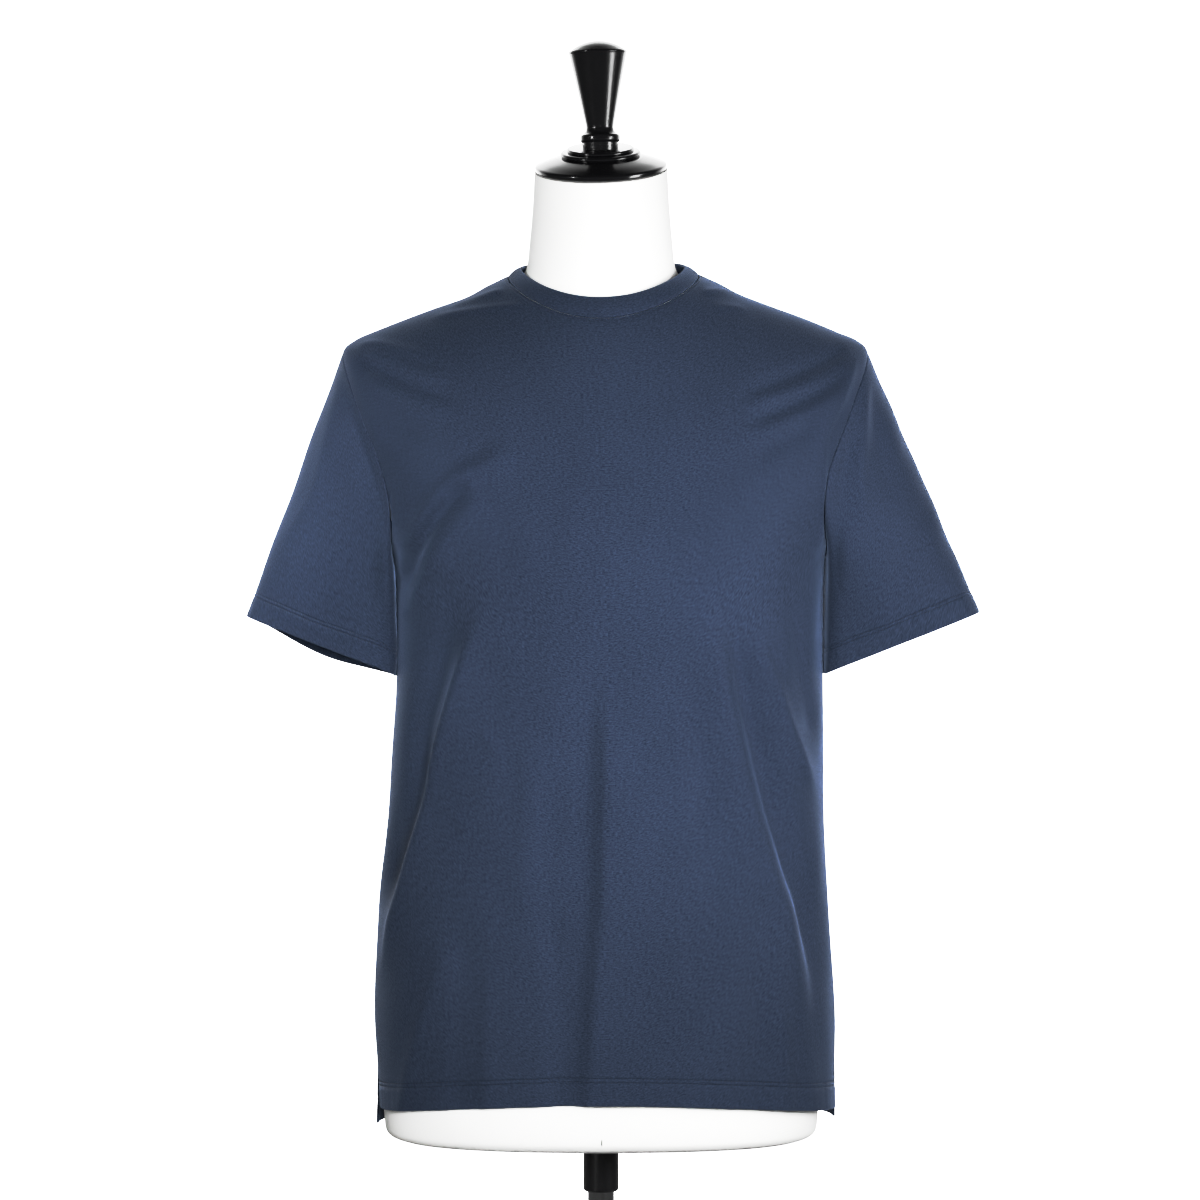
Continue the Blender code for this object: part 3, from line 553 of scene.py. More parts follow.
finish_piece(turned("turned_cap", CAP_OUTLINE, neck_seat(SEAT_GAP, NECK_LEAN)),
             lacquer("cap_lacquer", 0.16, 240.0, 0.00001), "bust", "black_lacquer", "neck_cap")
handle_seat = neck_seat(CAP_HEIGHT + 2 * SEAT_GAP, HANDLE_LEAN)
handle_foot = (np.array(handle_seat.translation), leaning(NECK_LEAN))
finish_piece(turned("turned_handle", HANDLE_OUTLINE, handle_seat, handle_foot),
             lacquer("handle_lacquer", 0.22, 1100.0, 0.00012), "bust", "black_lacquer",
             "cap_handle")


# ---------------------------------------------------------------- front and back
# Two pieces of fine single jersey, sewn at the shoulders and sides, with a slit at each side seam.
# The lower edge is turned up once and held by two rows of stitches, and the back hangs lower.
BODY = [Ring(*row) for row in (
    ("neck seam", 78.5, 82.5, -7, 724.5, -82, 684.5, 80, 733.5, 2.05, 0.22, 0.01),
    ("collar bone", 95, 99, 0, 718.5, -90, 666.5, 93, 722.5, 2.1, 0.10, 0.01),
    ("upper shoulder", 113, 117, 3, 709, -98, 644.5, 104, 706.5, 2.15, 0.04, 0.01),
    ("mid shoulder", 140, 144, 4, 699, -107, 614.5, 114, 680.5, 2.2, 0, 0.005),
    ("outer shoulder", 168, 173, 4, 688.5, -115, 583.5, 121, 649.5, 2.25, 0, 0.004),
    ("shoulder edge", 192, 199, 4, 678.5, -120, 552.5, 125, 616.5, 2.3),
    ("shoulder tip", 207, 215, 3, 671.5, -122.5, 528.5, 126.5, 589.5, 2.3),
    ("shoulder point", 217, 224.5, 2, 661, -124, 507.5, 127, 566.5, 2.3),
    ("sleeve head", 218, 225, 0, 634.5, -124.5, 489.5, 126.5, 543.5, 2.3),
    ("upper armhole", 210, 218, -2, 598.5, -124.5, 472.5, 125, 518.5, 2.3),
    ("mid armhole", 199, 209, -3, 559.5, -124, 455.5, 123, 494.5, 2.3),
    ("lower armhole", 186, 198, -3, 522.5, -123, 441.5, 121, 472.5, 2.35),
    ("underarm", 175, 189, -2, 492.5, -122, 425.5, 119, 450.5, 2.4),
    ("ribs", 171.5, 186.5, -1, 450.5, -120.5, 398.5, 116, 419.5, 2.45),
    ("above waist", 171.5, 186.5, 0, 405.5, -119, 365.5, 113, 382.5, 2.45),
    ("waist", 173.5, 187.5, 1, 358.5, -117.5, 329.5, 111, 339.5, 2.45),
    ("below waist", 177.6, 187, 2, 294.5, -116.5, 277.5, 111, 282.5, 2.4),
    ("upper hip", 182, 188.5, 3, 245.5, -116.5, 235.5, 114, 236.5, 2.4),
    ("hip", 186.5, 191, 4, 200.5, -117.5, 194.5, 119, 192.5, 2.4),
    ("seat", 189.6, 194.8, 5, 145.5, -119, 146.5, 126, 140.5, 2.4),
    ("lower seat", 190.4, 196.8, 6, 100.5, -120, 107.5, 130, 94.5, 2.4),
    ("vent top", 188.4, 196.5, 6, 65.5, -120, 77.5, 131, 59.5, 2.4),
)]
FRONT_HEM = Ring("front hem", 186, 197.4, 6, 26, -119.5, 41.5, 131, 11.5, 2.4)
BACK_HEM = Ring("back hem", 190, 198, 6, 13, -119.5, 41.5, 131, 10, 2.4, 0, 0.015)

SHOULDER_LEVEL = 7.0  # row of BODY where the shoulder seam ends
UNDERARM_LEVEL = 12.0
SHOULDER_MIDDLE = 5.4  # level, at the centre line, of the row that ends at the shoulder point
UNDERARM_MIDDLE = 13.0  # and of the row that ends at the underarm
VENT_LEVEL = 21.0
HEM_LEVEL = 22.0
FRONT_SCOOP = 34.0  # how far the armhole cuts into the front, in degrees of turn
BACK_SCOOP = 29.0
SCOOP_SKEW = 0.12
VENT_SPREAD = 2.4  # how far each side of the slit draws back at the hem, in degrees of turn

JERSEY = 0.8  # one ply
TURNED_UP = 1.8  # two plies
SEAM_DITCH = 1.5  # radius over which the cloth rolls down into a seam
SEAM_TURN = 1.5  # how far its edge goes down
HALF_SEAM = 0.15
SLIT_TURN = 0.05  # how far the free edge beside a slit goes down
FIRST_LEVEL = 17.6  # how much cloth lies between the first two rows of BODY
# Distances in from a seam, closer together where the cloth rolls over.
EDGE_STEPS = np.array([0.0, 0.03, 0.12, 0.3, 0.6, 1.0, 1.6, 2.4, 3.6, 5.0, 7.0])
# Heights of the rows over the edge of a hem, closer together at its two rows of stitches.
BODY_STITCHES = (22.8, 19.5)
SLEEVE_STITCHES = (21.0, 18.0)
PLY_EDGE = 1.9  # how far over its upper row of stitches the turned-up ply ends
PLY_STEP = 0.4  # width of the step at its edge
HEM_ROLL = 0.9  # room for the rounded edge of a hem, and of the cloth beside a slit
SLIT_ROLL = 0.8
STITCH_PROUD = 0.06
NECK_STITCH = 2.0  # a row of stitches this far outside the neck seam
VENT_STITCH = 5.0
VENT_PLY = 8.4  # width of the ply that is turned in beside a slit
VENT_PLY_STEP = 0.6
NECK_ZONE = 20  # the row of stitches at the neck is among this many rows of the panel
NECK_ZONE_COLUMN = 60
BODY_PUCKER = 26.0  # how high over the hem its stitches pucker the cloth
SLEEVE_PUCKER = 24.0
# Rows of a panel: down to the shoulder point, down the armhole, down to the slit, and how far
# apart they are below it.
FIRST_EVEN_LEVEL = 0.5
SHOULDER_ROWS = 38
ARMHOLE_ROWS = 57
SIDE_ROWS = 117
SLIT_ROW = 3.4
MIDDLE_COLUMNS = 74  # to each side of the centre
MIDDLE_SPREAD = 0.35  # how much closer together the columns are towards the sides
FINE_SHARES = 241
HEM_FREE = 4  # columns of a panel that the stitches of its hem leave free at each side
NECK_FREE = 5
SLIT_RATE = 8  # a slit is fully open an eighth of a level below its top
LEVEL_STEP = 0.05  # steps to each side over which the direction of a surface is taken
TURN_STEP = 1.0


def hem_rows(stitches):
    """Heights of a hem's rows, from above its turned-up ply to its edge."""
    upper, lower = stitches
    near = np.array([1.0, 0.6, 0.3, 0.0, -0.3, -0.6])
    below = np.array([15.5, 13.0, 10.5, 8.0, 5.5, 3.5, 2.2, 1.4, HEM_ROLL])
    above = np.array([2.6, PLY_EDGE, 1.5, 0.6, 0.3, 0.0, -0.3, -0.6])
    return np.concatenate([upper + above, lower + near, below])


def body_points(level, turn, hem=FRONT_HEM):
    """The shirt's outer face without its creases: one body down to the slits, then its hem."""
    part = np.clip((level - VENT_LEVEL) / (HEM_LEVEL - VENT_LEVEL), 0, 1)[..., None]
    body = rings_at(BODY, np.minimum(level, VENT_LEVEL))
    return ring_points(body * (1 - part) + np.array(hem[1:], float) * part, turn)


def body_normals(level, turn, hem=FRONT_HEM):
    """The outward direction of the shirt without its creases."""
    above, below = (body_points(level + step, turn, hem) for step in (-LEVEL_STEP, LEVEL_STEP))
    before, after = (body_points(level, turn + step, hem) for step in (-TURN_STEP, TURN_STEP))
    return unit(np.cross(below - above, after - before))


def grid_normals(points, wraps=False):
    """The outward direction at each point of a grid, from its neighbours."""
    down = np.gradient(points, axis=0)
    if wraps:
        across = np.roll(points, -1, axis=1) - np.roll(points, 1, axis=1)
    else:
        across = np.gradient(points, axis=1)
    return unit(np.cross(down, across))


# A crease's row: its name, its half widths towards -X and towards +X, or below and above it where
# it runs across, its height, which is under 0 for a trough, and then the points of its path, as
# x and height. The back's are placed as if seen through the front.
FRONT_CREASES = (
    ("right side edge", 4.5, 24, 3.4, (-93, 455), (-116, 396), (-134, 333), (-143, 288),
     (-160, 234), (-174, 184), (-185, 128)),
    ("right side crest", 4, 7, 3.2, (-94, 452), (-115, 396), (-134, 333), (-142, 290), (-159, 236),
     (-173, 186), (-184, 132)),
    ("right side hollow", 13, 11.5, -9.4, (-112, 470), (-135, 396), (-151, 336), (-159, 290),
     (-174, 240), (-185, 186)),
    ("right side lower hollow", 9, 9, -3, (-149, 372), (-153, 335), (-161, 295), (-170, 258),
     (-178, 222), (-184, 186)),
    ("right armhole fold", 6, 6, -6.4, (-171, 452), (-160, 478), (-147, 502), (-132, 524),
     (-119, 539), (-104, 547)),
    ("right armhole ridge", 9, 9, 4.4, (-160, 492), (-147, 518), (-130, 541), (-112, 555),
     (-90, 565), (-64, 572)),
    ("right armhole upper hollow", 9, 8, -2.5, (-162, 508), (-146, 536), (-129, 554), (-112, 567),
     (-88, 578)),
    ("right armhole lower ridge", 8, 14, 4.2, (-158, 440), (-145, 468), (-130, 496), (-113, 520),
     (-94, 540)),
    ("right armhole small ridge", 4, 5, 0.9, (-168, 436), (-158, 448), (-148, 462)),
    ("left side edge", 26, 9, 5, (82, 470), (90, 430), (98, 387), (109, 339), (120, 290),
     (134, 241), (151, 193), (161, 144), (164, 90)),
    ("left side hollow", 6.5, 11, -7.6, (104, 450), (111, 410), (117, 375), (125, 339), (137, 290),
     (152, 241), (168, 193), (177, 144), (179, 100)),
    ("left side lower hollow", 9, 9, -3.4, (126, 372), (136, 330), (149, 290), (164, 244),
     (175, 206), (181, 166)),
    ("left second edge", 9, 6, 4.2, (127, 424), (136, 399), (145, 378), (157, 345), (168, 316),
     (178, 292)),
    ("left outer hollow", 9, 7, -3.8, (156, 464), (163, 419), (171, 368), (177, 334)),
    ("centre fall", 5.5, 46, 5.6, (4, 408), (3, 355), (3, 306), (2, 249), (1, 209), (-3, 160),
     (-7, 95), (-11, 30), (-15, -40)),
    ("centre hollow", 16, 5, -2, (-7, 400), (-8, 306), (-9, 209), (-14, 150), (-20, 70),
     (-26, -20)),
    ("right lower crest", 7, 10, 2.6, (-126, 172), (-143, 120), (-160, 56), (-168, 10)),
    ("right lower hollow", 8, 20, -2.4, (-110, 190), (-115, 110), (-119, 10)),
    ("right lower thin crest", 5, 8, 1.6, (-92, 160), (-94, 105), (-96, 10)),
    ("right lower middle hollow", 9, 13, -2.4, (-38, 200), (-35, 120), (-32, 0)),
    ("left thin crest", 10, 3.5, 1.7, (61, 196), (66, 150), (68, 122)),
    ("left hem hollow", 14, 10, -2.4, (138, 220), (132, 150), (124, 10)),
    ("left hem crest", 5, 6, 2, (148, 120), (151, 78), (153, 10)),
    ("right shoulder tip", 4, 4, 2.4, (-205, 665), (-188, 666), (-167, 660), (-140, 653)),
    ("right shoulder drag", 7, 7, -2.3, (-202, 656), (-187, 645), (-166, 635), (-141, 625),
     (-112, 612)),
    ("right armhole drag", 5, 5, -2, (-188, 594), (-168, 592), (-144, 588)),
    ("right collar streak", 3.5, 3.5, 2, (-128, 698), (-103, 705), (-80, 711)),
    ("right lower collar streak", 4, 3, 1.7, (-144, 688), (-100, 694), (-62, 696)),
    ("left collar streak", 3.5, 3.5, 1.8, (84, 708), (100, 711), (118, 711)),
    ("left lower collar streak", 3.5, 3.5, 1.3, (92, 695), (106, 696), (122, 694)),
    ("left shoulder drag", 6, 6, -2.9, (206, 664), (182, 650), (155, 637), (108, 617)),
    ("left shoulder roll", 8, 7, 2.6, (202, 641), (165, 626), (120, 614)),
    ("left shoulder lower drag", 7, 7, -3, (205, 643), (183, 628), (156, 614), (112, 594)),
    ("left chest hollow", 8, 9, -1.6, (176, 594), (152, 584), (122, 570)),
    ("left armhole edge", 9, 4, 2.6, (214, 662), (209, 644), (199, 619), (188, 598), (183, 582),
     (182, 536), (183, 470)),
    ("small right drag", 3, 4, 1.2, (-99, 346), (-91, 336), (-82, 324)),
    ("small right drag below", 3, 4, 1.1, (-120, 278), (-114, 269), (-108, 260)),
    ("right shoulder roll", 5, 6, 2.8, (-198, 661), (-178, 652), (-152, 641), (-124, 631)),
    ("right shoulder lower roll", 8, 8, 2.2, (-196, 639), (-174, 627), (-148, 615), (-120, 604)),
    ("left shoulder lower roll", 9, 8, 2.2, (203, 627), (180, 612), (152, 599), (124, 588)),
    ("right belly ridge", 9, 16, 1.5, (-62, 345), (-60, 270), (-66, 180)),
    ("right belly hollow", 10, 12, -1.5, (-38, 310), (-40, 230), (-36, 150)),
    ("left belly ridge", 16, 9, 1.5, (56, 390), (62, 310), (66, 240)),
    ("left belly hollow", 9, 12, -1.6, (80, 350), (86, 270), (92, 190)),
    ("chest fall", 60, 55, 1.2, (34, 560), (30, 500), (24, 440)),
)
BACK_CREASES = (
    ("back right edge", 5, 26, 4.2, (-84, 560), (-104, 470), (-120, 370), (-134, 260),
     (-152, 130)),
    ("back right hollow", 12, 9, -4.4, (-112, 540), (-130, 440), (-140, 340), (-152, 240),
     (-164, 160)),
    ("back right drag", 6, 7, -3.6, (-172, 486), (-148, 520), (-120, 556), (-90, 578)),
    ("back right roll", 9, 8, 2.6, (-176, 512), (-148, 548), (-114, 580)),
    ("back shoulder right drag", 8, 8, -2.2, (-204, 640), (-160, 628), (-104, 612)),
    ("back shoulder left drag", 8, 8, -2.2, (206, 636), (160, 622), (112, 600)),
    ("back blade hollow", 34, 30, -1.8, (-24, 600), (-14, 500), (-8, 400)),
    ("back centre crest", 7, 26, 2.8, (-16, 440), (-12, 320), (-16, 190), (-20, 50)),
    ("back centre hollow", 18, 9, -2.4, (-34, 400), (-30, 280), (-34, 170), (-38, 50)),
    ("back right lower crest", 9, 12, 1.8, (-76, 260), (-82, 160), (-88, 50)),
    ("back left hollow", 14, 10, -1.9, (52, 360), (60, 240), (62, 130), (62, 50)),
    ("back left edge", 26, 5, 4.2, (84, 570), (98, 460), (110, 340), (126, 220), (146, 90)),
    ("back left hollow outside", 10, 12, -4.2, (112, 540), (126, 430), (138, 310), (152, 200),
     (164, 120)),
    ("back left drag", 7, 6, -3.2, (178, 492), (150, 530), (112, 566)),
    ("back left roll", 9, 8, 2.4, (182, 520), (152, 556), (112, 592)),
    ("back collar drag", 12, 18, -1.3, (-66, 694), (0, 676), (70, 694)),
)
SLEEVE_CREASES = (
    ("right sleeve hollow", 10, 7, -3.6, (-212, 648), (-203, 610), (-193, 575), (-184, 536),
     (-179, 486), (-176, 410)),
    ("right sleeve fall", 8, 10, 2.8, (-217, 650), (-222, 620), (-228, 586), (-238, 545),
     (-252, 519), (-270, 496)),
    ("right sleeve lower fall", 12, 18, 1.2, (-226, 500), (-234, 460), (-244, 420)),
    ("left sleeve ridge", 7, 6, 3.4, (220, 656), (219, 620), (217, 586), (215, 552), (219, 510)),
    ("left sleeve hollow", 7, 14, -2.6, (228, 640), (230, 610), (234, 576), (243, 532)),
    ("left sleeve inner hollow", 7, 6, -2.2, (209, 600), (202, 560), (196, 510), (193, 450)),
    ("left sleeve fall", 10, 10, 1.6, (268, 520), (281, 486), (294, 452)),
    ("left sleeve lower fall", 14, 16, 1.2, (232, 500), (236, 460), (240, 420)),
)
CREASE_STEPS = 48
CREASE_SOFT_ENDS = 0.22  # share of a crease's length over which each end fades
CREST_POWER = 1.6  # a crest is a little sharper than a trough
TROUGH_POWER = 2.0


def eased(share):
    """A soft step from 0 to 1."""
    share = np.clip(share, 0, 1)
    return share * share * (3 - 2 * share)


def crease_height(creases, x, h):
    """How far creases push the cloth out at places seen from the front."""
    total = np.zeros(x.shape)
    for _, near, far, lift, *path in creases:
        line = smooth_through(path, np.linspace(0, len(path) - 1, CREASE_STEPS))
        low = line.min(axis=0) - 3 * max(near, far)
        high = line.max(axis=0) + 3 * max(near, far)
        close = (x > low[0]) & (x < high[0]) & (h > low[1]) & (h < high[1])
        runs = np.diff(line, axis=0)
        away = np.stack([x[close], h[close]], axis=-1)[:, None] - line[:-1]
        along = np.clip((away * runs).sum(axis=-1) / (runs ** 2).sum(axis=1), 0, 1)
        off = away - along[..., None] * runs
        gaps = np.linalg.norm(off, axis=-1)
        best = gaps.argmin(axis=1)
        chosen = np.arange(len(best)), best
        upright = np.abs(runs[best, 1]) > np.abs(runs[best, 0])
        towards = np.where(upright, off[chosen][:, 0], off[chosen][:, 1])
        width = np.where(towards < 0, near, far)
        share = (best + along[chosen]) / (CREASE_STEPS - 1)
        fade = eased(np.minimum(share, 1 - share) / CREASE_SOFT_ENDS)
        power = TROUGH_POWER if lift < 0 else CREST_POWER
        total[close] += lift * fade * np.exp(-(gaps[chosen] / width) ** power)
    return total


RIPPLE_WAVES = 9
RIPPLE_LEAN = 0.9  # how far the waves lean from upright at most, in radians
RIPPLE_LENGTHS = (28, 75)


def ripple(x, y, h, size, seed):
    """The slight unevenness of hanging cloth: a few long waves with no pattern."""
    dice = np.random.default_rng(seed)
    total = np.zeros(np.shape(x))
    for _ in range(RIPPLE_WAVES):
        lean = dice.uniform(-RIPPLE_LEAN, RIPPLE_LEAN)
        length = dice.uniform(*RIPPLE_LENGTHS)
        slide = dice.uniform(0, 2 * math.pi)
        place = np.cos(lean) * x + 0.7 * np.sin(lean) * h + 0.5 * y
        total += np.sin(place * 2 * math.pi / length + slide)
    return total * size / 3


BODY_RIPPLE = 0.32
RIPPLE_TOP = 700.0  # the ripple grows from here down
RIPPLE_FADE = 60.0
SIDE_CLEAR = 4.0  # creases fade from this far in front of or behind the side seam
SIDE_FADE = 34.0
BODY_SEED = 5


def body_lift(points, front):
    """Creases of the front or the back, gone at the side seams, and a ripple all round."""
    x, y, h = np.moveaxis(points, -1, 0)
    fade = eased(((-y if front else y) - SIDE_CLEAR) / SIDE_FADE)
    creases = crease_height(FRONT_CREASES if front else BACK_CREASES, x, h)
    low = np.clip((RIPPLE_TOP - h) / RIPPLE_FADE, 0, 1)
    return creases * fade + ripple(x, y, h, BODY_RIPPLE, BODY_SEED) * low


def armhole(share):
    """Level and degrees from the side seam, at a share round the armhole: 0 top, 0.5 underarm."""
    angle = 2 * math.pi * share
    middle = (SHOULDER_LEVEL + UNDERARM_LEVEL) / 2
    half = (UNDERARM_LEVEL - SHOULDER_LEVEL) / 2
    scoop = np.where(share <= 0.5, FRONT_SCOOP, BACK_SCOOP)
    return middle - half * np.cos(angle), scoop * np.sin(angle) * (1 + SCOOP_SKEW * np.cos(angle))


def slit_share(level):
    """1 beside a slit, and 0 above it."""
    return np.clip((level - VENT_LEVEL) * SLIT_RATE, 0, 1)


def ditch(distance):
    """How far cloth has rolled down at a distance from its seam."""
    rest = np.clip(SEAM_DITCH - distance, 0, SEAM_DITCH)
    return SEAM_DITCH - np.sqrt(np.maximum(SEAM_DITCH ** 2 - rest ** 2, 0))


def groove(distance, place, depth=0.6, width=0.65):
    """The shallow groove that a row of stitches pulls into the cloth."""
    return depth * np.exp(-((distance - place) / width) ** 2)


# Each wave of the pucker: radians a millimetre, where it starts, and its share.
PUCKER_WAVES = ((0.62, 0, 1), (0.37, 1.3, 0.7), (1.07, 0.4, 0.5))
PUCKER_DEPTH = 0.07


def pucker(along, from_hem, top):
    """Small waves that stitching draws along a hem, from its edge to the top of its zone."""
    zone = np.clip((top - from_hem) / 4, 0, 1) * np.clip(from_hem / 3, 0.2, 1)
    waves = sum(share * np.sin(along * rate + start) for rate, start, share in PUCKER_WAVES)
    return PUCKER_DEPTH * waves * zone


def turned_up(from_hem, stitches):
    """1 where a hem is two plies thick, and 0 above it."""
    return np.clip((stitches[0] + PLY_EDGE - from_hem) / PLY_STEP, 0, 1)


def panel_surface(hem, middle_turn):
    """The grid of a panel: points without seams, levels, and how far each is from its edges."""
    first_share = middle_turn / 180
    neck = (HALF_SEAM + EDGE_STEPS) / FIRST_LEVEL
    shoulder = np.concatenate([neck, np.linspace(FIRST_EVEN_LEVEL, SHOULDER_LEVEL, SHOULDER_ROWS)])
    rows = [(edge, edge * SHOULDER_MIDDLE / SHOULDER_LEVEL, 90.0) for edge in shoulder]
    for part in np.linspace(0, 1, ARMHOLE_ROWS + 1)[1:]:
        edge, scoop = armhole(abs(first_share - part / 2))
        middle = SHOULDER_MIDDLE + (UNDERARM_MIDDLE - SHOULDER_MIDDLE) * part
        rows.append((float(edge), middle, 90.0 - abs(float(scoop))))
    for part in np.linspace(0, 1, SIDE_ROWS + 1)[1:]:
        edge = UNDERARM_LEVEL + (VENT_LEVEL - UNDERARM_LEVEL) * part
        rows.append((edge, UNDERARM_MIDDLE + (VENT_LEVEL - UNDERARM_MIDDLE) * part, 90.0))
    edge, middle, reach = np.array(rows).T[..., None]
    share = np.linspace(-1, 1, FINE_SHARES)[None]
    level = middle + (edge - middle) * share ** 2
    turn = middle_turn + reach * share

    straight = middle_turn + 90.0 * share
    top, foot = (body_points(np.full_like(straight, end), straight, hem)
                 for end in (VENT_LEVEL, HEM_LEVEL))
    drop = np.linalg.norm(foot - top, axis=-1)
    heights = hem_rows(BODY_STITCHES)[:, None]
    low_level = HEM_LEVEL - heights / drop * (HEM_LEVEL - VENT_LEVEL)
    between = max(2, int(round((drop.mean() - heights[0, 0]) / SLIT_ROW)))
    parts = np.linspace(0, 1, between + 1)[1:-1, None]
    join_level = VENT_LEVEL + (low_level[:1] - VENT_LEVEL) * parts
    low_level = np.concatenate([join_level, low_level])
    low_turn = middle_turn + (90.0 - VENT_SPREAD * (low_level - VENT_LEVEL)) * share
    level = np.concatenate([level, low_level])
    turn = np.concatenate([turn, low_turn])

    run = lengths(body_points(level, turn, hem), 1)
    first = HALF_SEAM + SLIT_ROLL * slit_share(level[:, 0])
    even = np.linspace(0, 1, MIDDLE_COLUMNS * 2 + 1)[1:-1]
    even = even - MIDDLE_SPREAD * np.sin(2 * math.pi * even) / (2 * math.pi)
    placed = []
    for row, total in enumerate(run[:, -1]):
        near = first[row] + EDGE_STEPS
        inner = near[-1] + (total - 2 * near[-1]) * even
        where = np.concatenate([near, inner, total - near[::-1]])
        placed.append((where, np.interp(where, run[row], level[row]),
                       np.interp(where, run[row], turn[row])))
    distance, level, turn = np.moveaxis(np.array(placed), 1, 0)
    points = body_points(level, turn, hem)
    lift = body_lift(points, middle_turn == 0.0)
    points = points + body_normals(level, turn, hem) * lift[..., None]
    total = run[:, -1:]
    from_side = np.minimum(distance, total - distance) - HALF_SEAM
    return points, level, from_side, distance - total / 2


def rim_loop(rows, columns):
    """The vertices round a grid's edge, down its first column and on anticlockwise."""
    index = np.arange(rows * columns).reshape(rows, columns)
    return np.concatenate([index[:-1, 0], index[-1, :-1], index[:0:-1, -1], index[0, :0:-1]])


def wall(name, points, thickness, places, wraps=False, arcs=3):
    """A sheet of cloth: an outer grid, its inner face, and a rounded edge.

    Gives also the grid that lies just proud of it, for its stitches.
    """
    rows, columns = points.shape[:2]
    normals = grid_normals(points, wraps)
    proud = points + normals * STITCH_PROUD + np.array([0.0, 0.0, FORM_FOOT])
    outwards = np.zeros_like(points)
    outwards[0] += unit(points[0] - points[1])
    outwards[-1] += unit(points[-1] - points[-2])
    if not wraps:
        outwards[:, 0] += unit(points[:, 0] - points[:, 1])
        outwards[:, -1] += unit(points[:, -1] - points[:, -2])
    count = rows * columns
    index = np.arange(count).reshape(rows, columns)
    loops = [index[-1], index[0, ::-1]] if wraps else [rim_loop(rows, columns)]
    flat = points.reshape(-1, 3)
    normals = normals.reshape(-1, 3)
    thick = np.broadcast_to(thickness, (rows, columns)).reshape(-1, 1)
    outwards = outwards.reshape(-1, 3)
    vertices = [flat, flat - normals * thick]
    faces = [quads(rows, columns, wraps), quads(rows, columns, wraps, count, True)]
    texture = [corner_places(places), corner_places(places)[:, [0, 3, 2, 1]]]
    edge_places = places[:, :columns].reshape(-1, 2)
    start = 2 * count
    for loop in loops:
        up = normals[loop]
        out = outwards[loop]
        out = unit(out - (out * up).sum(axis=-1, keepdims=True) * up)
        centre = flat[loop] - up * thick[loop] / 2
        layers = [loop]
        for step in range(arcs):
            angle = math.pi * (step + 1) / (arcs + 1)
            offset = up * math.cos(angle) + out * math.sin(angle)
            vertices.append(centre + offset * thick[loop] / 2)
            layers.append(start + np.arange(len(loop)))
            start += len(loop)
        layers.append(loop + count)
        after = np.roll(np.arange(len(loop)), -1)
        edge = edge_places[loop]
        for upper, lower in zip(layers, layers[1:]):
            faces.append(np.stack([upper[after], upper, lower, lower[after]], axis=-1))
            texture.append(np.stack([edge[after], edge, edge, edge[after]], axis=1))
    vertices = np.concatenate(vertices) + np.array([0.0, 0.0, FORM_FOOT])
    made = mesh_piece(name, vertices, np.concatenate(faces).tolist(),
                      np.concatenate(texture).reshape(-1, 2))
    return made, proud


def knit_group():
    """Plain knit seen close: upright columns of V-shaped loops, and the yarn's unevenness."""
    tree, given, result = shader_group("knit", "Vector Column Row Rib", "Height Tone Lustre")
    cloth = given["Vector"]
    place = axes_of(tree, cloth)
    across = maths(tree, "DIVIDE", place["X"], given["Column"])
    down = maths(tree, "DIVIDE", place["Y"], given["Row"])
    column = maths(tree, "ABSOLUTE", maths(tree, "SUBTRACT", maths(tree, "FRACT", across), 0.5))
    slant = maths(tree, "ADD", down, column)
    leg = maths(tree, "SINE", maths(tree, "MULTIPLY", slant, 2 * math.pi))
    ridge = maths(tree, "SINE", maths(tree, "MULTIPLY", column, 2 * math.pi))
    loops = maths(tree, "MULTIPLY_ADD", leg, 0.35, ridge)
    wide = maths(tree, "SINE", maths(tree, "MULTIPLY", across, math.pi))
    raised = maths(tree, "MULTIPLY", maths(tree, "MULTIPLY", wide, wide), given["Rib"])
    slub = noise(tree, stretched(tree, cloth, (260.0, 1500.0, 1.0)), 1.0, 3.0, 0.6)
    grain = noise(tree, cloth, 900.0, 1.0, 0.5)
    cloudy = noise(tree, cloth, 9.0, 2.0, 0.5)
    flecks = noise(tree, stretched(tree, cloth, (420.0, 900.0, 1.0)), 1.0, 1.0, 0.5)
    mixed = maths(tree, "MULTIPLY", cloudy, 0.3)
    for part, weight in ((flecks, 1.5), (grain, 1.1), (slub, 1.3)):
        mixed = maths(tree, "MULTIPLY_ADD", part, weight, mixed)
    tone = maths(tree, "SUBTRACT", mixed, 1.6)
    tone.node.use_clamp = True
    lustre = maths(tree, "MULTIPLY_ADD", slub, 0.5, maths(tree, "MULTIPLY", cloudy, 0.5))
    put(result, Height=maths(tree, "ADD", loops, raised), Tone=tone, Lustre=lustre)
    return tree


KNIT = knit_group()
NAVY_DARK = (0.0190, 0.0272, 0.0480)
NAVY_LIGHT = (0.0515, 0.0705, 0.1130)


def knit_material(name, column, row, rib, depth):
    """Dyed cotton knit with a slight lustre, on the cloth's own texture places."""
    made, tree, shader = new_material(name)
    knit = use_group(tree, KNIT, Vector=place_vector(tree, "UV"), Column=column, Row=row, Rib=rib)
    put(shader, Base_Color=blend(tree, knit["Tone"], NAVY_DARK, NAVY_LIGHT),
        Roughness=maths(tree, "MULTIPLY_ADD", knit["Lustre"], 0.12, 0.54),
        Specular_IOR_Level=0.15, Specular_Tint=(0.62, 0.75, 1.0, 1.0),
        Sheen_Weight=0.26, Sheen_Roughness=0.4, Sheen_Tint=(0.5, 0.68, 1.0, 1.0))
    bump(tree, shader, knit["Height"], 0.35, depth)
    return made


jersey = knit_material("navy_jersey", 0.0006, 0.00045, 0.0, 0.00006)
stitch_paths = defaultdict(list)  # the rows of stitches of each piece of cloth


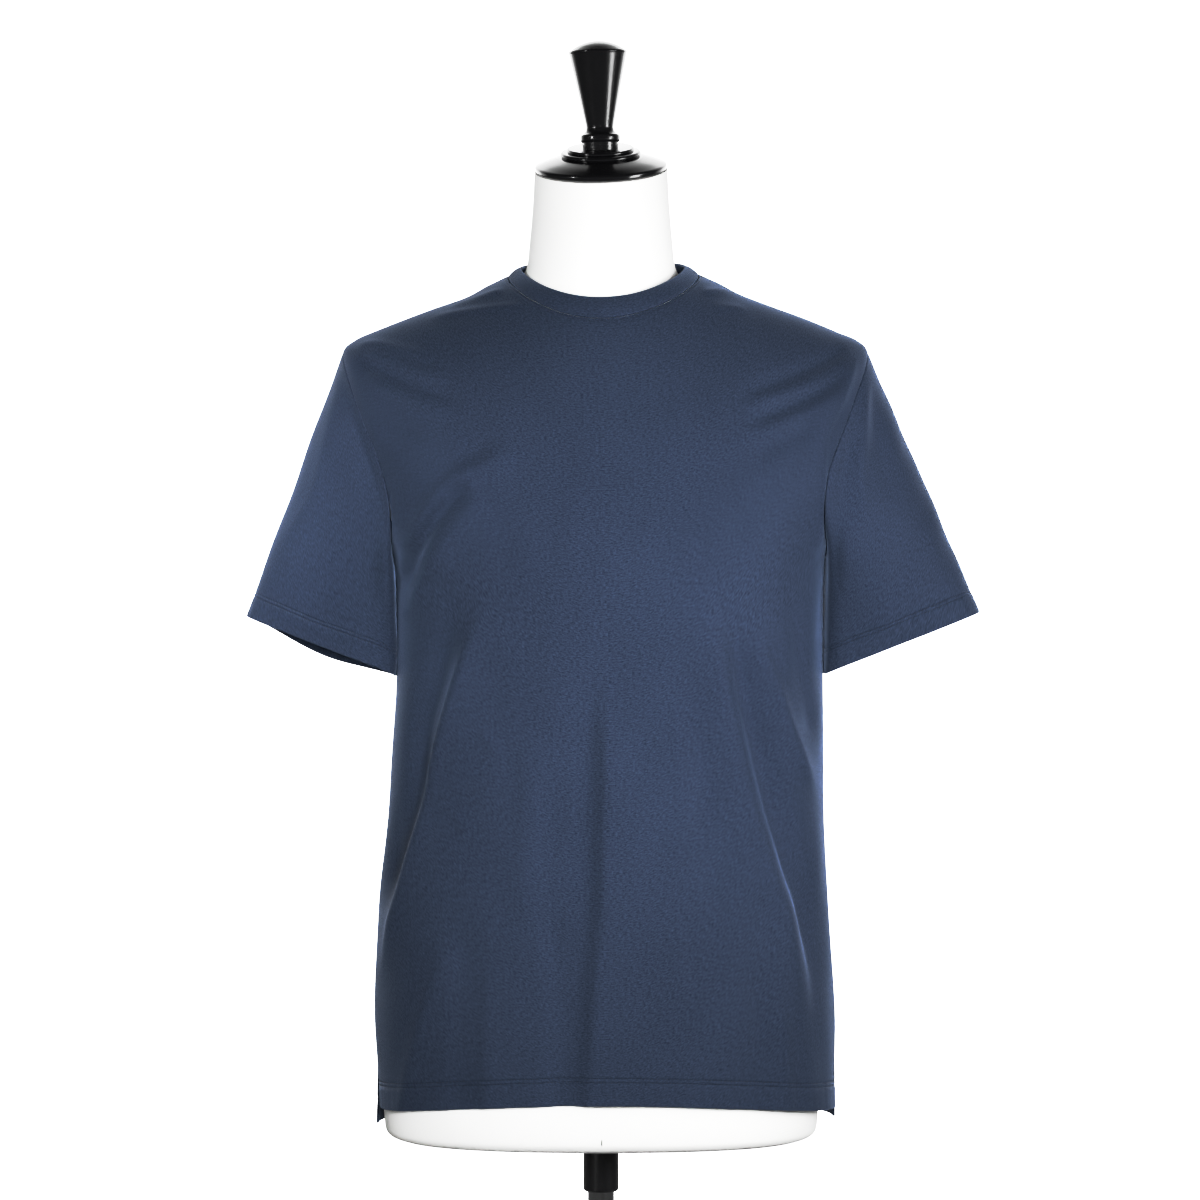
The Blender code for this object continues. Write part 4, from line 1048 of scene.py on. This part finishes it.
def make_panel(name, node, hem, middle_turn):
    """The front (middle_turn 0) or the back (180), with its seams, hem and stitch grooves."""
    points, level, from_side, across = panel_surface(hem, middle_turn)
    from_neck = lengths(points, 0)
    from_hem = from_neck[-1:] - from_neck + HEM_ROLL
    normals = grid_normals(points)
    slit = slit_share(level)
    down = ditch(from_side) * (1 - slit)
    down[:, [0, -1]] = SEAM_TURN * (1 - slit[:, [0, -1]]) + SLIT_TURN * slit[:, [0, -1]]
    down = np.maximum(down, ditch(from_neck))
    down[0] = SEAM_TURN
    down += groove(from_neck, NECK_STITCH)
    for stitch in BODY_STITCHES:
        down += groove(from_hem, stitch)
    down += groove(from_side, VENT_STITCH) * slit
    down += pucker(across, from_hem, BODY_PUCKER)
    slit_plies = slit * np.clip((VENT_PLY - from_side) / VENT_PLY_STEP, 0, 1)
    plies = np.maximum(turned_up(from_hem, BODY_STITCHES), slit_plies)
    places = np.stack([across, -from_neck], axis=-1) * MM
    made, proud = wall(name, points - normals * down[..., None],
                       JERSEY + (TURNED_UP - JERSEY) * plies, places)
    hem_at = from_hem[:, len(across[0]) // 2]
    for stitch in BODY_STITCHES:
        hem_row = np.abs(hem_at - stitch).argmin()
        stitch_paths[name].append(proud[hem_row, HEM_FREE:-HEM_FREE])
    neck_at = from_neck[:NECK_ZONE, NECK_ZONE_COLUMN]
    neck_row = np.abs(neck_at - NECK_STITCH).argmin()
    stitch_paths[name].append(proud[neck_row, NECK_FREE:-NECK_FREE])
    start = int(np.argmax(level[:, 0] > VENT_LEVEL)) - 1
    column = EDGE_STEPS.tolist().index(VENT_STITCH)
    for side in (column, -1 - column):
        stitch_paths[name].append(proud[start:-column, side])
    return finish_piece(made, jersey, "bust", "navy_jersey", node)


front = make_panel("front_jersey", "front_panel", FRONT_HEM, 0.0)
back = make_panel("back_jersey", "back_panel", BACK_HEM, 180.0)


# ---------------------------------------------------------------- sleeves
# Short set-in sleeves of the same jersey, each one piece with its seam under the arm. The lower
# edge is turned up once and held by two rows of stitches, and hangs open.
# A cuff's ends are its outer and inner corners, seen from the front.
# Its front and back lie closer to the body than its inner side by hug_front and hug_back, and
# halfway down it settles against the body.
Cuff = namedtuple("Cuff", """name side outer_x outer_h inner_x inner_h front_y back_y back_drop
                             hug_front hug_back settle""")
CUFFS = (
    Cuff("right_sleeve", -1, -299.0, 439.0, -172.4, 388.5, -33.0, 40.0, 9.0, 7.0, 4.0, 2.6),
    Cuff("left_sleeve", 1, 319.4, 442.5, 187.4, 390.5, -33.0, 40.0, 3.0, 2.0, 8.0, 0.6),
)
CUFF_SQUARE = 2.3
INNER_SQUARE = 4.0  # the side against the body is pressed flatter
INNER_RATE = 1.6
UNDERARM_STANDOFF = 0.2  # the sleeve hangs this clear of the side of the body
UNDERARM_LIFT = 0.4
STANDOFF_REACH = 0.06
UNDERARM_ZONE = 0.25
SLEEVE_COLUMNS = 176
SLEEVE_ROWS = 62
SLEEVE_RIPPLE = 0.35
SLEEVE_SEED = 11
CREASE_FADE = 14.0  # how far below the armhole seam its creases and its ripple are whole
RIPPLE_SEAM_FADE = 10.0
BACK_SHARE = 0.8  # the same creases are lower at the back
BACK_START = 5.0
SETTLE_RATE = 1.8  # how soon a sleeve settles below its seam, and lets go above its cuff
FACING_RATE = 1.6  # creases are whole on the front and back, and gone at the sides
FACING_START = 0.3
MATCH_REACH = 0.5  # the edge rolls down less where it turns off the body's direction


def cuff_points(cuff, share):
    """The cuff's edge, at the same shares round the sleeve as the armhole seam."""
    angle = 2 * math.pi * share
    inner = np.clip(-INNER_RATE * np.cos(angle), 0, 1)
    square = CUFF_SQUARE + (INNER_SQUARE - CUFF_SQUARE) * inner
    sine, cosine, reach = squared_circle(angle, square)
    across = (1 + cosine * reach) / 2
    x = cuff.inner_x + (cuff.outer_x - cuff.inner_x) * across
    height = cuff.inner_h + (cuff.outer_h - cuff.inner_h) * across
    middle_y = (cuff.front_y + cuff.back_y) / 2
    half_depth = (cuff.back_y - cuff.front_y) / 2
    drop = cuff.back_drop * np.maximum(0.0, -sine) ** 4
    hug = np.where(sine > 0, cuff.hug_front, cuff.hug_back)
    hug = hug * (1 - across) ** 3 * (sine * reach) ** 2
    return np.stack([x - cuff.side * hug, middle_y - half_depth * sine * reach, height - drop],
                    axis=-1)


def make_sleeve(cuff):
    """A slanting tube from the armhole seam to the turned cuff, with its creases."""
    share = -cuff.side * np.arange(SLEEVE_COLUMNS) / SLEEVE_COLUMNS % 1.0
    level, scoop = armhole(share)
    turn = cuff.side * (90 - scoop)
    body = body_normals(level, turn)
    start = body_points(level, turn)
    lift = np.where(share <= 0.5, body_lift(start, True), body_lift(start, False))
    start = start + body * lift[..., None]
    end = cuff_points(cuff, share)
    length = np.linalg.norm(end - start, axis=-1)[None]
    heights = hem_rows(SLEEVE_STITCHES)[:, None]
    near = (HALF_SEAM + EDGE_STEPS)[:, None]
    parts = np.linspace(0, 1, SLEEVE_ROWS + 1)[1:-1, None]
    between = near[-1] + (length - heights[0] - near[-1]) * parts
    from_seam = np.concatenate([near + 0 * length, between, length - heights])
    row = from_seam / length
    under = np.maximum(0.0, UNDERARM_ZONE - np.cos(2 * math.pi * share)) / (1 + UNDERARM_ZONE)
    clear = UNDERARM_STANDOFF * (1 - np.exp(-row / STANDOFF_REACH)) * (1 - row) + UNDERARM_LIFT
    clear = clear - cuff.settle * np.minimum(1.0, SETTLE_RATE * np.sin(math.pi * row))
    points = start + (end - start) * row[..., None] + body * (under * clear)[..., None]

    normals = grid_normals(points, True)
    facing = np.clip(np.abs(normals[..., 1]) * FACING_RATE - FACING_START, 0, 1)
    fade = np.clip(from_seam / CREASE_FADE, 0, 1) * facing
    x, y, h = np.moveaxis(points, -1, 0)
    share_here = np.where(y > BACK_START, BACK_SHARE, 1.0)
    lift = crease_height(SLEEVE_CREASES, x, h) * fade * share_here
    ripples = ripple(x, y, h, SLEEVE_RIPPLE, SLEEVE_SEED)
    lift += ripples * np.clip(from_seam / RIPPLE_SEAM_FADE, 0, 1)
    points = points + normals * lift[..., None]

    normals = grid_normals(points, True)
    from_hem = length - from_seam
    match = np.clip((normals * body).sum(axis=-1) / MATCH_REACH, 0, 1)
    down = ditch(from_seam - HALF_SEAM) * match
    down[0] = SEAM_TURN * match[0]
    for stitch in SLEEVE_STITCHES:
        down += groove(from_hem, stitch)
    around = lengths(closed(points), 1)
    down += pucker(around[:, :-1] - around[:, -1:] / 2, from_hem, SLEEVE_PUCKER)
    plies = turned_up(from_hem, SLEEVE_STITCHES)
    places = np.stack([around, -closed(from_seam)], axis=-1) * MM
    made, proud = wall(cuff.name + "_jersey", points - normals * down[..., None],
                       JERSEY + (TURNED_UP - JERSEY) * plies, places, wraps=True)
    for stitch in SLEEVE_STITCHES:
        path = proud[int(np.abs(from_hem[:, 0] - stitch).argmin())]
        stitch_paths[cuff.name].append(np.concatenate([path, path[:1]]))
    return finish_piece(made, jersey, "bust", "navy_jersey", cuff.name)


sleeves = [make_sleeve(cuff) for cuff in CUFFS]


# ---------------------------------------------------------------- neck rib
# A band of rib knit folded double, sewn round the neck a little tight so that it stands up, and
# pressed flat. Its seam lies in a ditch between it and the jersey.
RIB_EDGE = Ring("rib edge", 67, 70, -5, 732.5, -74.5, 702.5, 67, 741.5, 2.05, 0.22, 0.01)
RIB_WALL = 2.4
RIB_BULGE = 1.2
RIB_COLUMNS = 360
RIB_ROWS = 12
RIB_EDGE_PLY = 0.8  # the fold is thinner where it goes into the seam
RIB_THINNING = 2.5


def make_rib():
    """The folded rib, from its rounded upper edge down to the neck seam."""
    turn = (np.arange(RIB_COLUMNS) * 360.0 / RIB_COLUMNS)[None]
    level = np.full_like(turn, HALF_SEAM / FIRST_LEVEL)
    seam = body_points(level, turn)
    lean = body_normals(level, turn)
    top = ring_points(np.array(RIB_EDGE[1:], float)[None, None], turn)
    height = np.linalg.norm(seam - top, axis=-1)
    near = EDGE_STEPS[8::-1, None]
    parts = np.linspace(0, 1, RIB_ROWS)[:, None]
    flat = RIB_WALL / 2 + (height - near[0] - RIB_WALL / 2) * parts
    from_top = np.concatenate([flat, height - near[1:]])
    part = from_top / height
    bulge = RIB_BULGE * np.sin(math.pi * part)
    points = top + (seam - top) * part[..., None] + lean * bulge[..., None]
    from_seam = height - from_top
    down = ditch(from_seam)
    down[-1] = SEAM_TURN
    points = points - grid_normals(points, True) * down[..., None]
    thickness = RIB_EDGE_PLY + (RIB_WALL - RIB_EDGE_PLY) * np.clip(from_seam / RIB_THINNING, 0, 1)
    around = np.broadcast_to(lengths(closed(seam), 1), (len(points), RIB_COLUMNS + 1))
    places = np.stack([around, -closed(from_top)], axis=-1) * MM
    return wall("neck_rib_band", points, thickness, places, wraps=True, arcs=5)[0]


rib_knit = knit_material("navy_rib", 0.0011, 0.0005, 1.3, 0.00016)
rib = finish_piece(make_rib(), rib_knit, "bust", "navy_rib", "neck_rib")


# ---------------------------------------------------------------- stitches
# Polyester sewing thread in navy, coloured darker than the jersey as painted shade of the stitch
# lines: twin rows at the hems of body and sleeves, one row below the neck seam, and one down each
# side of the slits.
STITCH_PITCH = 3.0
STITCH_LENGTH = 2.3
THREAD_RADIUS = 0.19


def stitch_tree(thread):
    """Geometry nodes that lay one short stitch after another along the edges of a mesh."""
    tree = bpy.data.node_groups.new("stitch_row", "GeometryNodeTree")
    for label, way, kind in (
            ("Geometry", "INPUT", "Geometry"), ("Pitch", "INPUT", "Float"),
            ("Stitch length", "INPUT", "Float"), ("Thread radius", "INPUT", "Float"),
            ("Geometry", "OUTPUT", "Geometry")):
        tree.interface.new_socket(name=label, in_out=way, socket_type="NodeSocket" + kind)
    new = tree.nodes.new
    given = new("NodeGroupInput").outputs
    line = put(new("GeometryNodeMeshToCurve"), Mesh=given["Geometry"])
    spaced = new("GeometryNodeResampleCurve")
    spaced.mode = "LENGTH"
    put(spaced, Curve=line.outputs["Curve"], Length=given["Pitch"])
    aim = new("FunctionNodeAlignRotationToVector")
    aim.axis = "Z"
    put(aim, Vector=new("GeometryNodeInputTangent").outputs["Tangent"])
    ball = put(new("GeometryNodeMeshUVSphere"), Segments=7, Rings=5, Radius=1.0)
    half = maths(tree, "MULTIPLY", given["Stitch length"], 0.5)
    size = put(new("ShaderNodeCombineXYZ"), X=given["Thread radius"], Y=given["Thread radius"],
               Z=half)
    copies = put(new("GeometryNodeInstanceOnPoints"), Points=spaced.outputs["Curve"],
                 Instance=ball.outputs["Mesh"], Rotation=aim.outputs["Rotation"],
                 Scale=size.outputs["Vector"])
    real = put(new("GeometryNodeRealizeInstances"), Geometry=copies.outputs["Instances"])
    smooth = put(new("GeometryNodeSetShadeSmooth"), Geometry=real.outputs["Geometry"])
    dress = put(new("GeometryNodeSetMaterial"), Geometry=smooth.outputs["Geometry"],
                Material=thread)
    put(new("NodeGroupOutput"), Geometry=dress.outputs["Geometry"])
    return tree


def thread_with_painted_shade():
    """Twisted thread, a little smoother than the jersey, and darker as painted shade of the
    stitches.
    """
    made, tree, shader = new_material("thread_with_painted_shade")
    twist = noise(tree, place_vector(tree, "Object"), 2600.0, 1.0, 0.5)
    # This dark colour is painted shade, for the dark lines that the rows of stitches make.
    put(shader, Base_Color=blend(tree, twist, (0.007, 0.010, 0.020), (0.016, 0.022, 0.040)),
        Roughness=maths(tree, "MULTIPLY_ADD", twist, 0.2, 0.36))
    bump(tree, shader, twist, 0.5, 0.00005)
    return made


def sew(cloth, made_name, tree):
    """Real stitches along all the paths of one piece of cloth, as one plain mesh."""
    paths = stitch_paths[cloth]
    edges = []
    start = 0
    for path in paths:
        edges += [(start + step, start + step + 1) for step in range(len(path) - 1)]
        start += len(path)
    mesh = bpy.data.meshes.new(made_name + "_line")
    mesh.from_pydata((np.concatenate(paths) * MM).tolist(), edges, [])
    line = bpy.data.objects.new(made_name + "_line", mesh)
    bpy.context.scene.collection.objects.link(line)
    rows = line.modifiers.new("stitches", "NODES")
    rows.node_group = tree
    sizes = {"Pitch": STITCH_PITCH, "Stitch length": STITCH_LENGTH, "Thread radius": THREAD_RADIUS}
    for item in tree.interface.items_tree:
        if item.in_out == "INPUT" and item.name in sizes:
            rows[item.identifier] = sizes[item.name] * MM
    evaluated = line.evaluated_get(bpy.context.evaluated_depsgraph_get())
    made = bpy.data.objects.new(made_name, bpy.data.meshes.new_from_object(evaluated))
    bpy.context.scene.collection.objects.link(made)
    bpy.data.objects.remove(line)
    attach(made, "bust")
    return made


tree = stitch_tree(thread_with_painted_shade())
front_stitches = sew("front_jersey", "front_stitches", tree)
back_stitches = sew("back_jersey", "back_stitches", tree)
right_stitches = sew("right_sleeve", "right_sleeve_stitches", tree)
left_stitches = sew("left_sleeve", "left_sleeve_stitches", tree)


# ---------------------------------------------------------------- floor, light and camera
# A white sweep, a soft light in front and one behind, a larger one on the wearer's left, three
# small ones on the wearer's right, and the camera level with the middle of the shirt.
FLOOR_RADIUS = 7.0
FLOOR_SIDES = 96

white, tree, shader = new_material("white_floor")
path = tree.nodes.new("ShaderNodeLightPath").outputs
distance = maths(tree, "LENGTH", place_vector(tree, "Object"), kind="ShaderNodeVectorMath")
far = clamped(tree, distance.node.outputs["Value"], 1.1, -0.25)
seen = maths(tree, "MULTIPLY", maths(tree, "MULTIPLY", far, 2.0), path["Is Camera Ray"])
# The floor is darker to the light that it throws up than to the camera, and glows from afar.
pale = blend(tree, path["Is Camera Ray"], (0.5, 0.5, 0.5), (0.82, 0.82, 0.82))
put(shader, Base_Color=pale, Roughness=0.7, Emission_Color=(1, 1, 1, 1), Emission_Strength=seen)
angles = np.linspace(0, 2 * math.pi, FLOOR_SIDES + 1)[:-1]
ring = np.stack([np.cos(angles), np.sin(angles), 0 * angles], axis=-1) * FLOOR_RADIUS / MM
floor = mesh_piece("floor", ring, [list(range(FLOOR_SIDES))])
floor.data.materials.append(white)

# Each light: its name, place and aim in metres, width, height, spread in degrees and power, and
# whether polished pieces mirror it.
LIGHTS = (
    ("key_right", (1.22, -0.62, 0.80), (0, 0, 0.74), 0.5, 0.8, 100, 2.8, True),
    ("sleeve_left", (-1.0, -0.75, 1.3), (-0.33, 0, 0.80), 0.2, 0.2, 22, 0.30, True),
    ("strip_left", (-0.96, -0.90, 1.14), (0, 0, 1.10), 0.12, 0.5, 30, 0.12, True),
    ("low_left", (-0.9, -1.2, 0.36), (-0.1, -0.05, 0.37), 0.3, 0.3, 24, 0.06, True),
    ("front", (0.10, -1.66, 0.74), (0, 0, 0.67), 0.4, 0.4, 60, 3.7, False),
    ("back", (-0.5, 1.65, 0.85), (0, 0, 0.68), 0.5, 0.5, 60, 3.4, False),
)
for name, place, aim, width, height, spread, power, mirrored in LIGHTS:
    lamp = bpy.data.lights.new(name, "AREA")
    lamp.shape = "RECTANGLE"
    lamp.size = width
    lamp.size_y = height
    lamp.spread = math.radians(spread)
    lamp.energy = power
    made = bpy.data.objects.new(name, lamp)
    made.location = place
    made.rotation_euler = (Vector(aim) - Vector(place)).to_track_quat("-Z", "Y").to_euler()
    made.visible_camera = False
    made.visible_glossy = mirrored
    bpy.context.scene.collection.objects.link(made)

# The room is white behind the form and nearly dark in front of it, and white to the camera.
world = bpy.data.worlds.new("studio")
bpy.context.scene.world = world
world.use_nodes = True
sky = world.node_tree
path = sky.nodes.new("ShaderNodeLightPath").outputs
way = axes_of(sky, sky.nodes.new("ShaderNodeTexCoord").outputs["Generated"])
behind = clamped(sky, way["Y"], 2.6, -0.9)
above = maths(sky, "MULTIPLY_ADD", maths(sky, "MAXIMUM", way["Z"], 0.0), -0.5, 1.0)
gloss = maths(sky, "MULTIPLY_ADD", path["Is Glossy Ray"], 1.2, 0.8)
ambient = maths(sky, "MULTIPLY", maths(sky, "MULTIPLY_ADD", behind, gloss, 0.05), above)
strength = maths(sky, "MAXIMUM", ambient, maths(sky, "MULTIPLY", path["Is Camera Ray"], 2.0))
put(sky.nodes["Background"], Strength=strength, Color=(1, 1, 1, 1))

camera_data = bpy.data.cameras.new("camera")
camera_data.sensor_width = 36.0
camera_data.lens = 115.7
camera = bpy.data.objects.new("camera", camera_data)
camera.location = (-0.00084, -3.25, 0.7125)
camera.rotation_euler = (math.radians(90), 0, 0)
bpy.context.scene.collection.objects.link(camera)
bpy.context.scene.camera = camera
view = bpy.context.scene.view_settings
view.view_transform = "Standard"
# Whites are held back a little before they clip, as film does.
view.use_curve_mapping = True
tones = view.curve_mapping
shoulder = tones.curves[3]
for place in ((0.15, 0.15), (0.40, 0.72), (0.70, 0.91)):
    shoulder.points.new(*place)
tones.update()
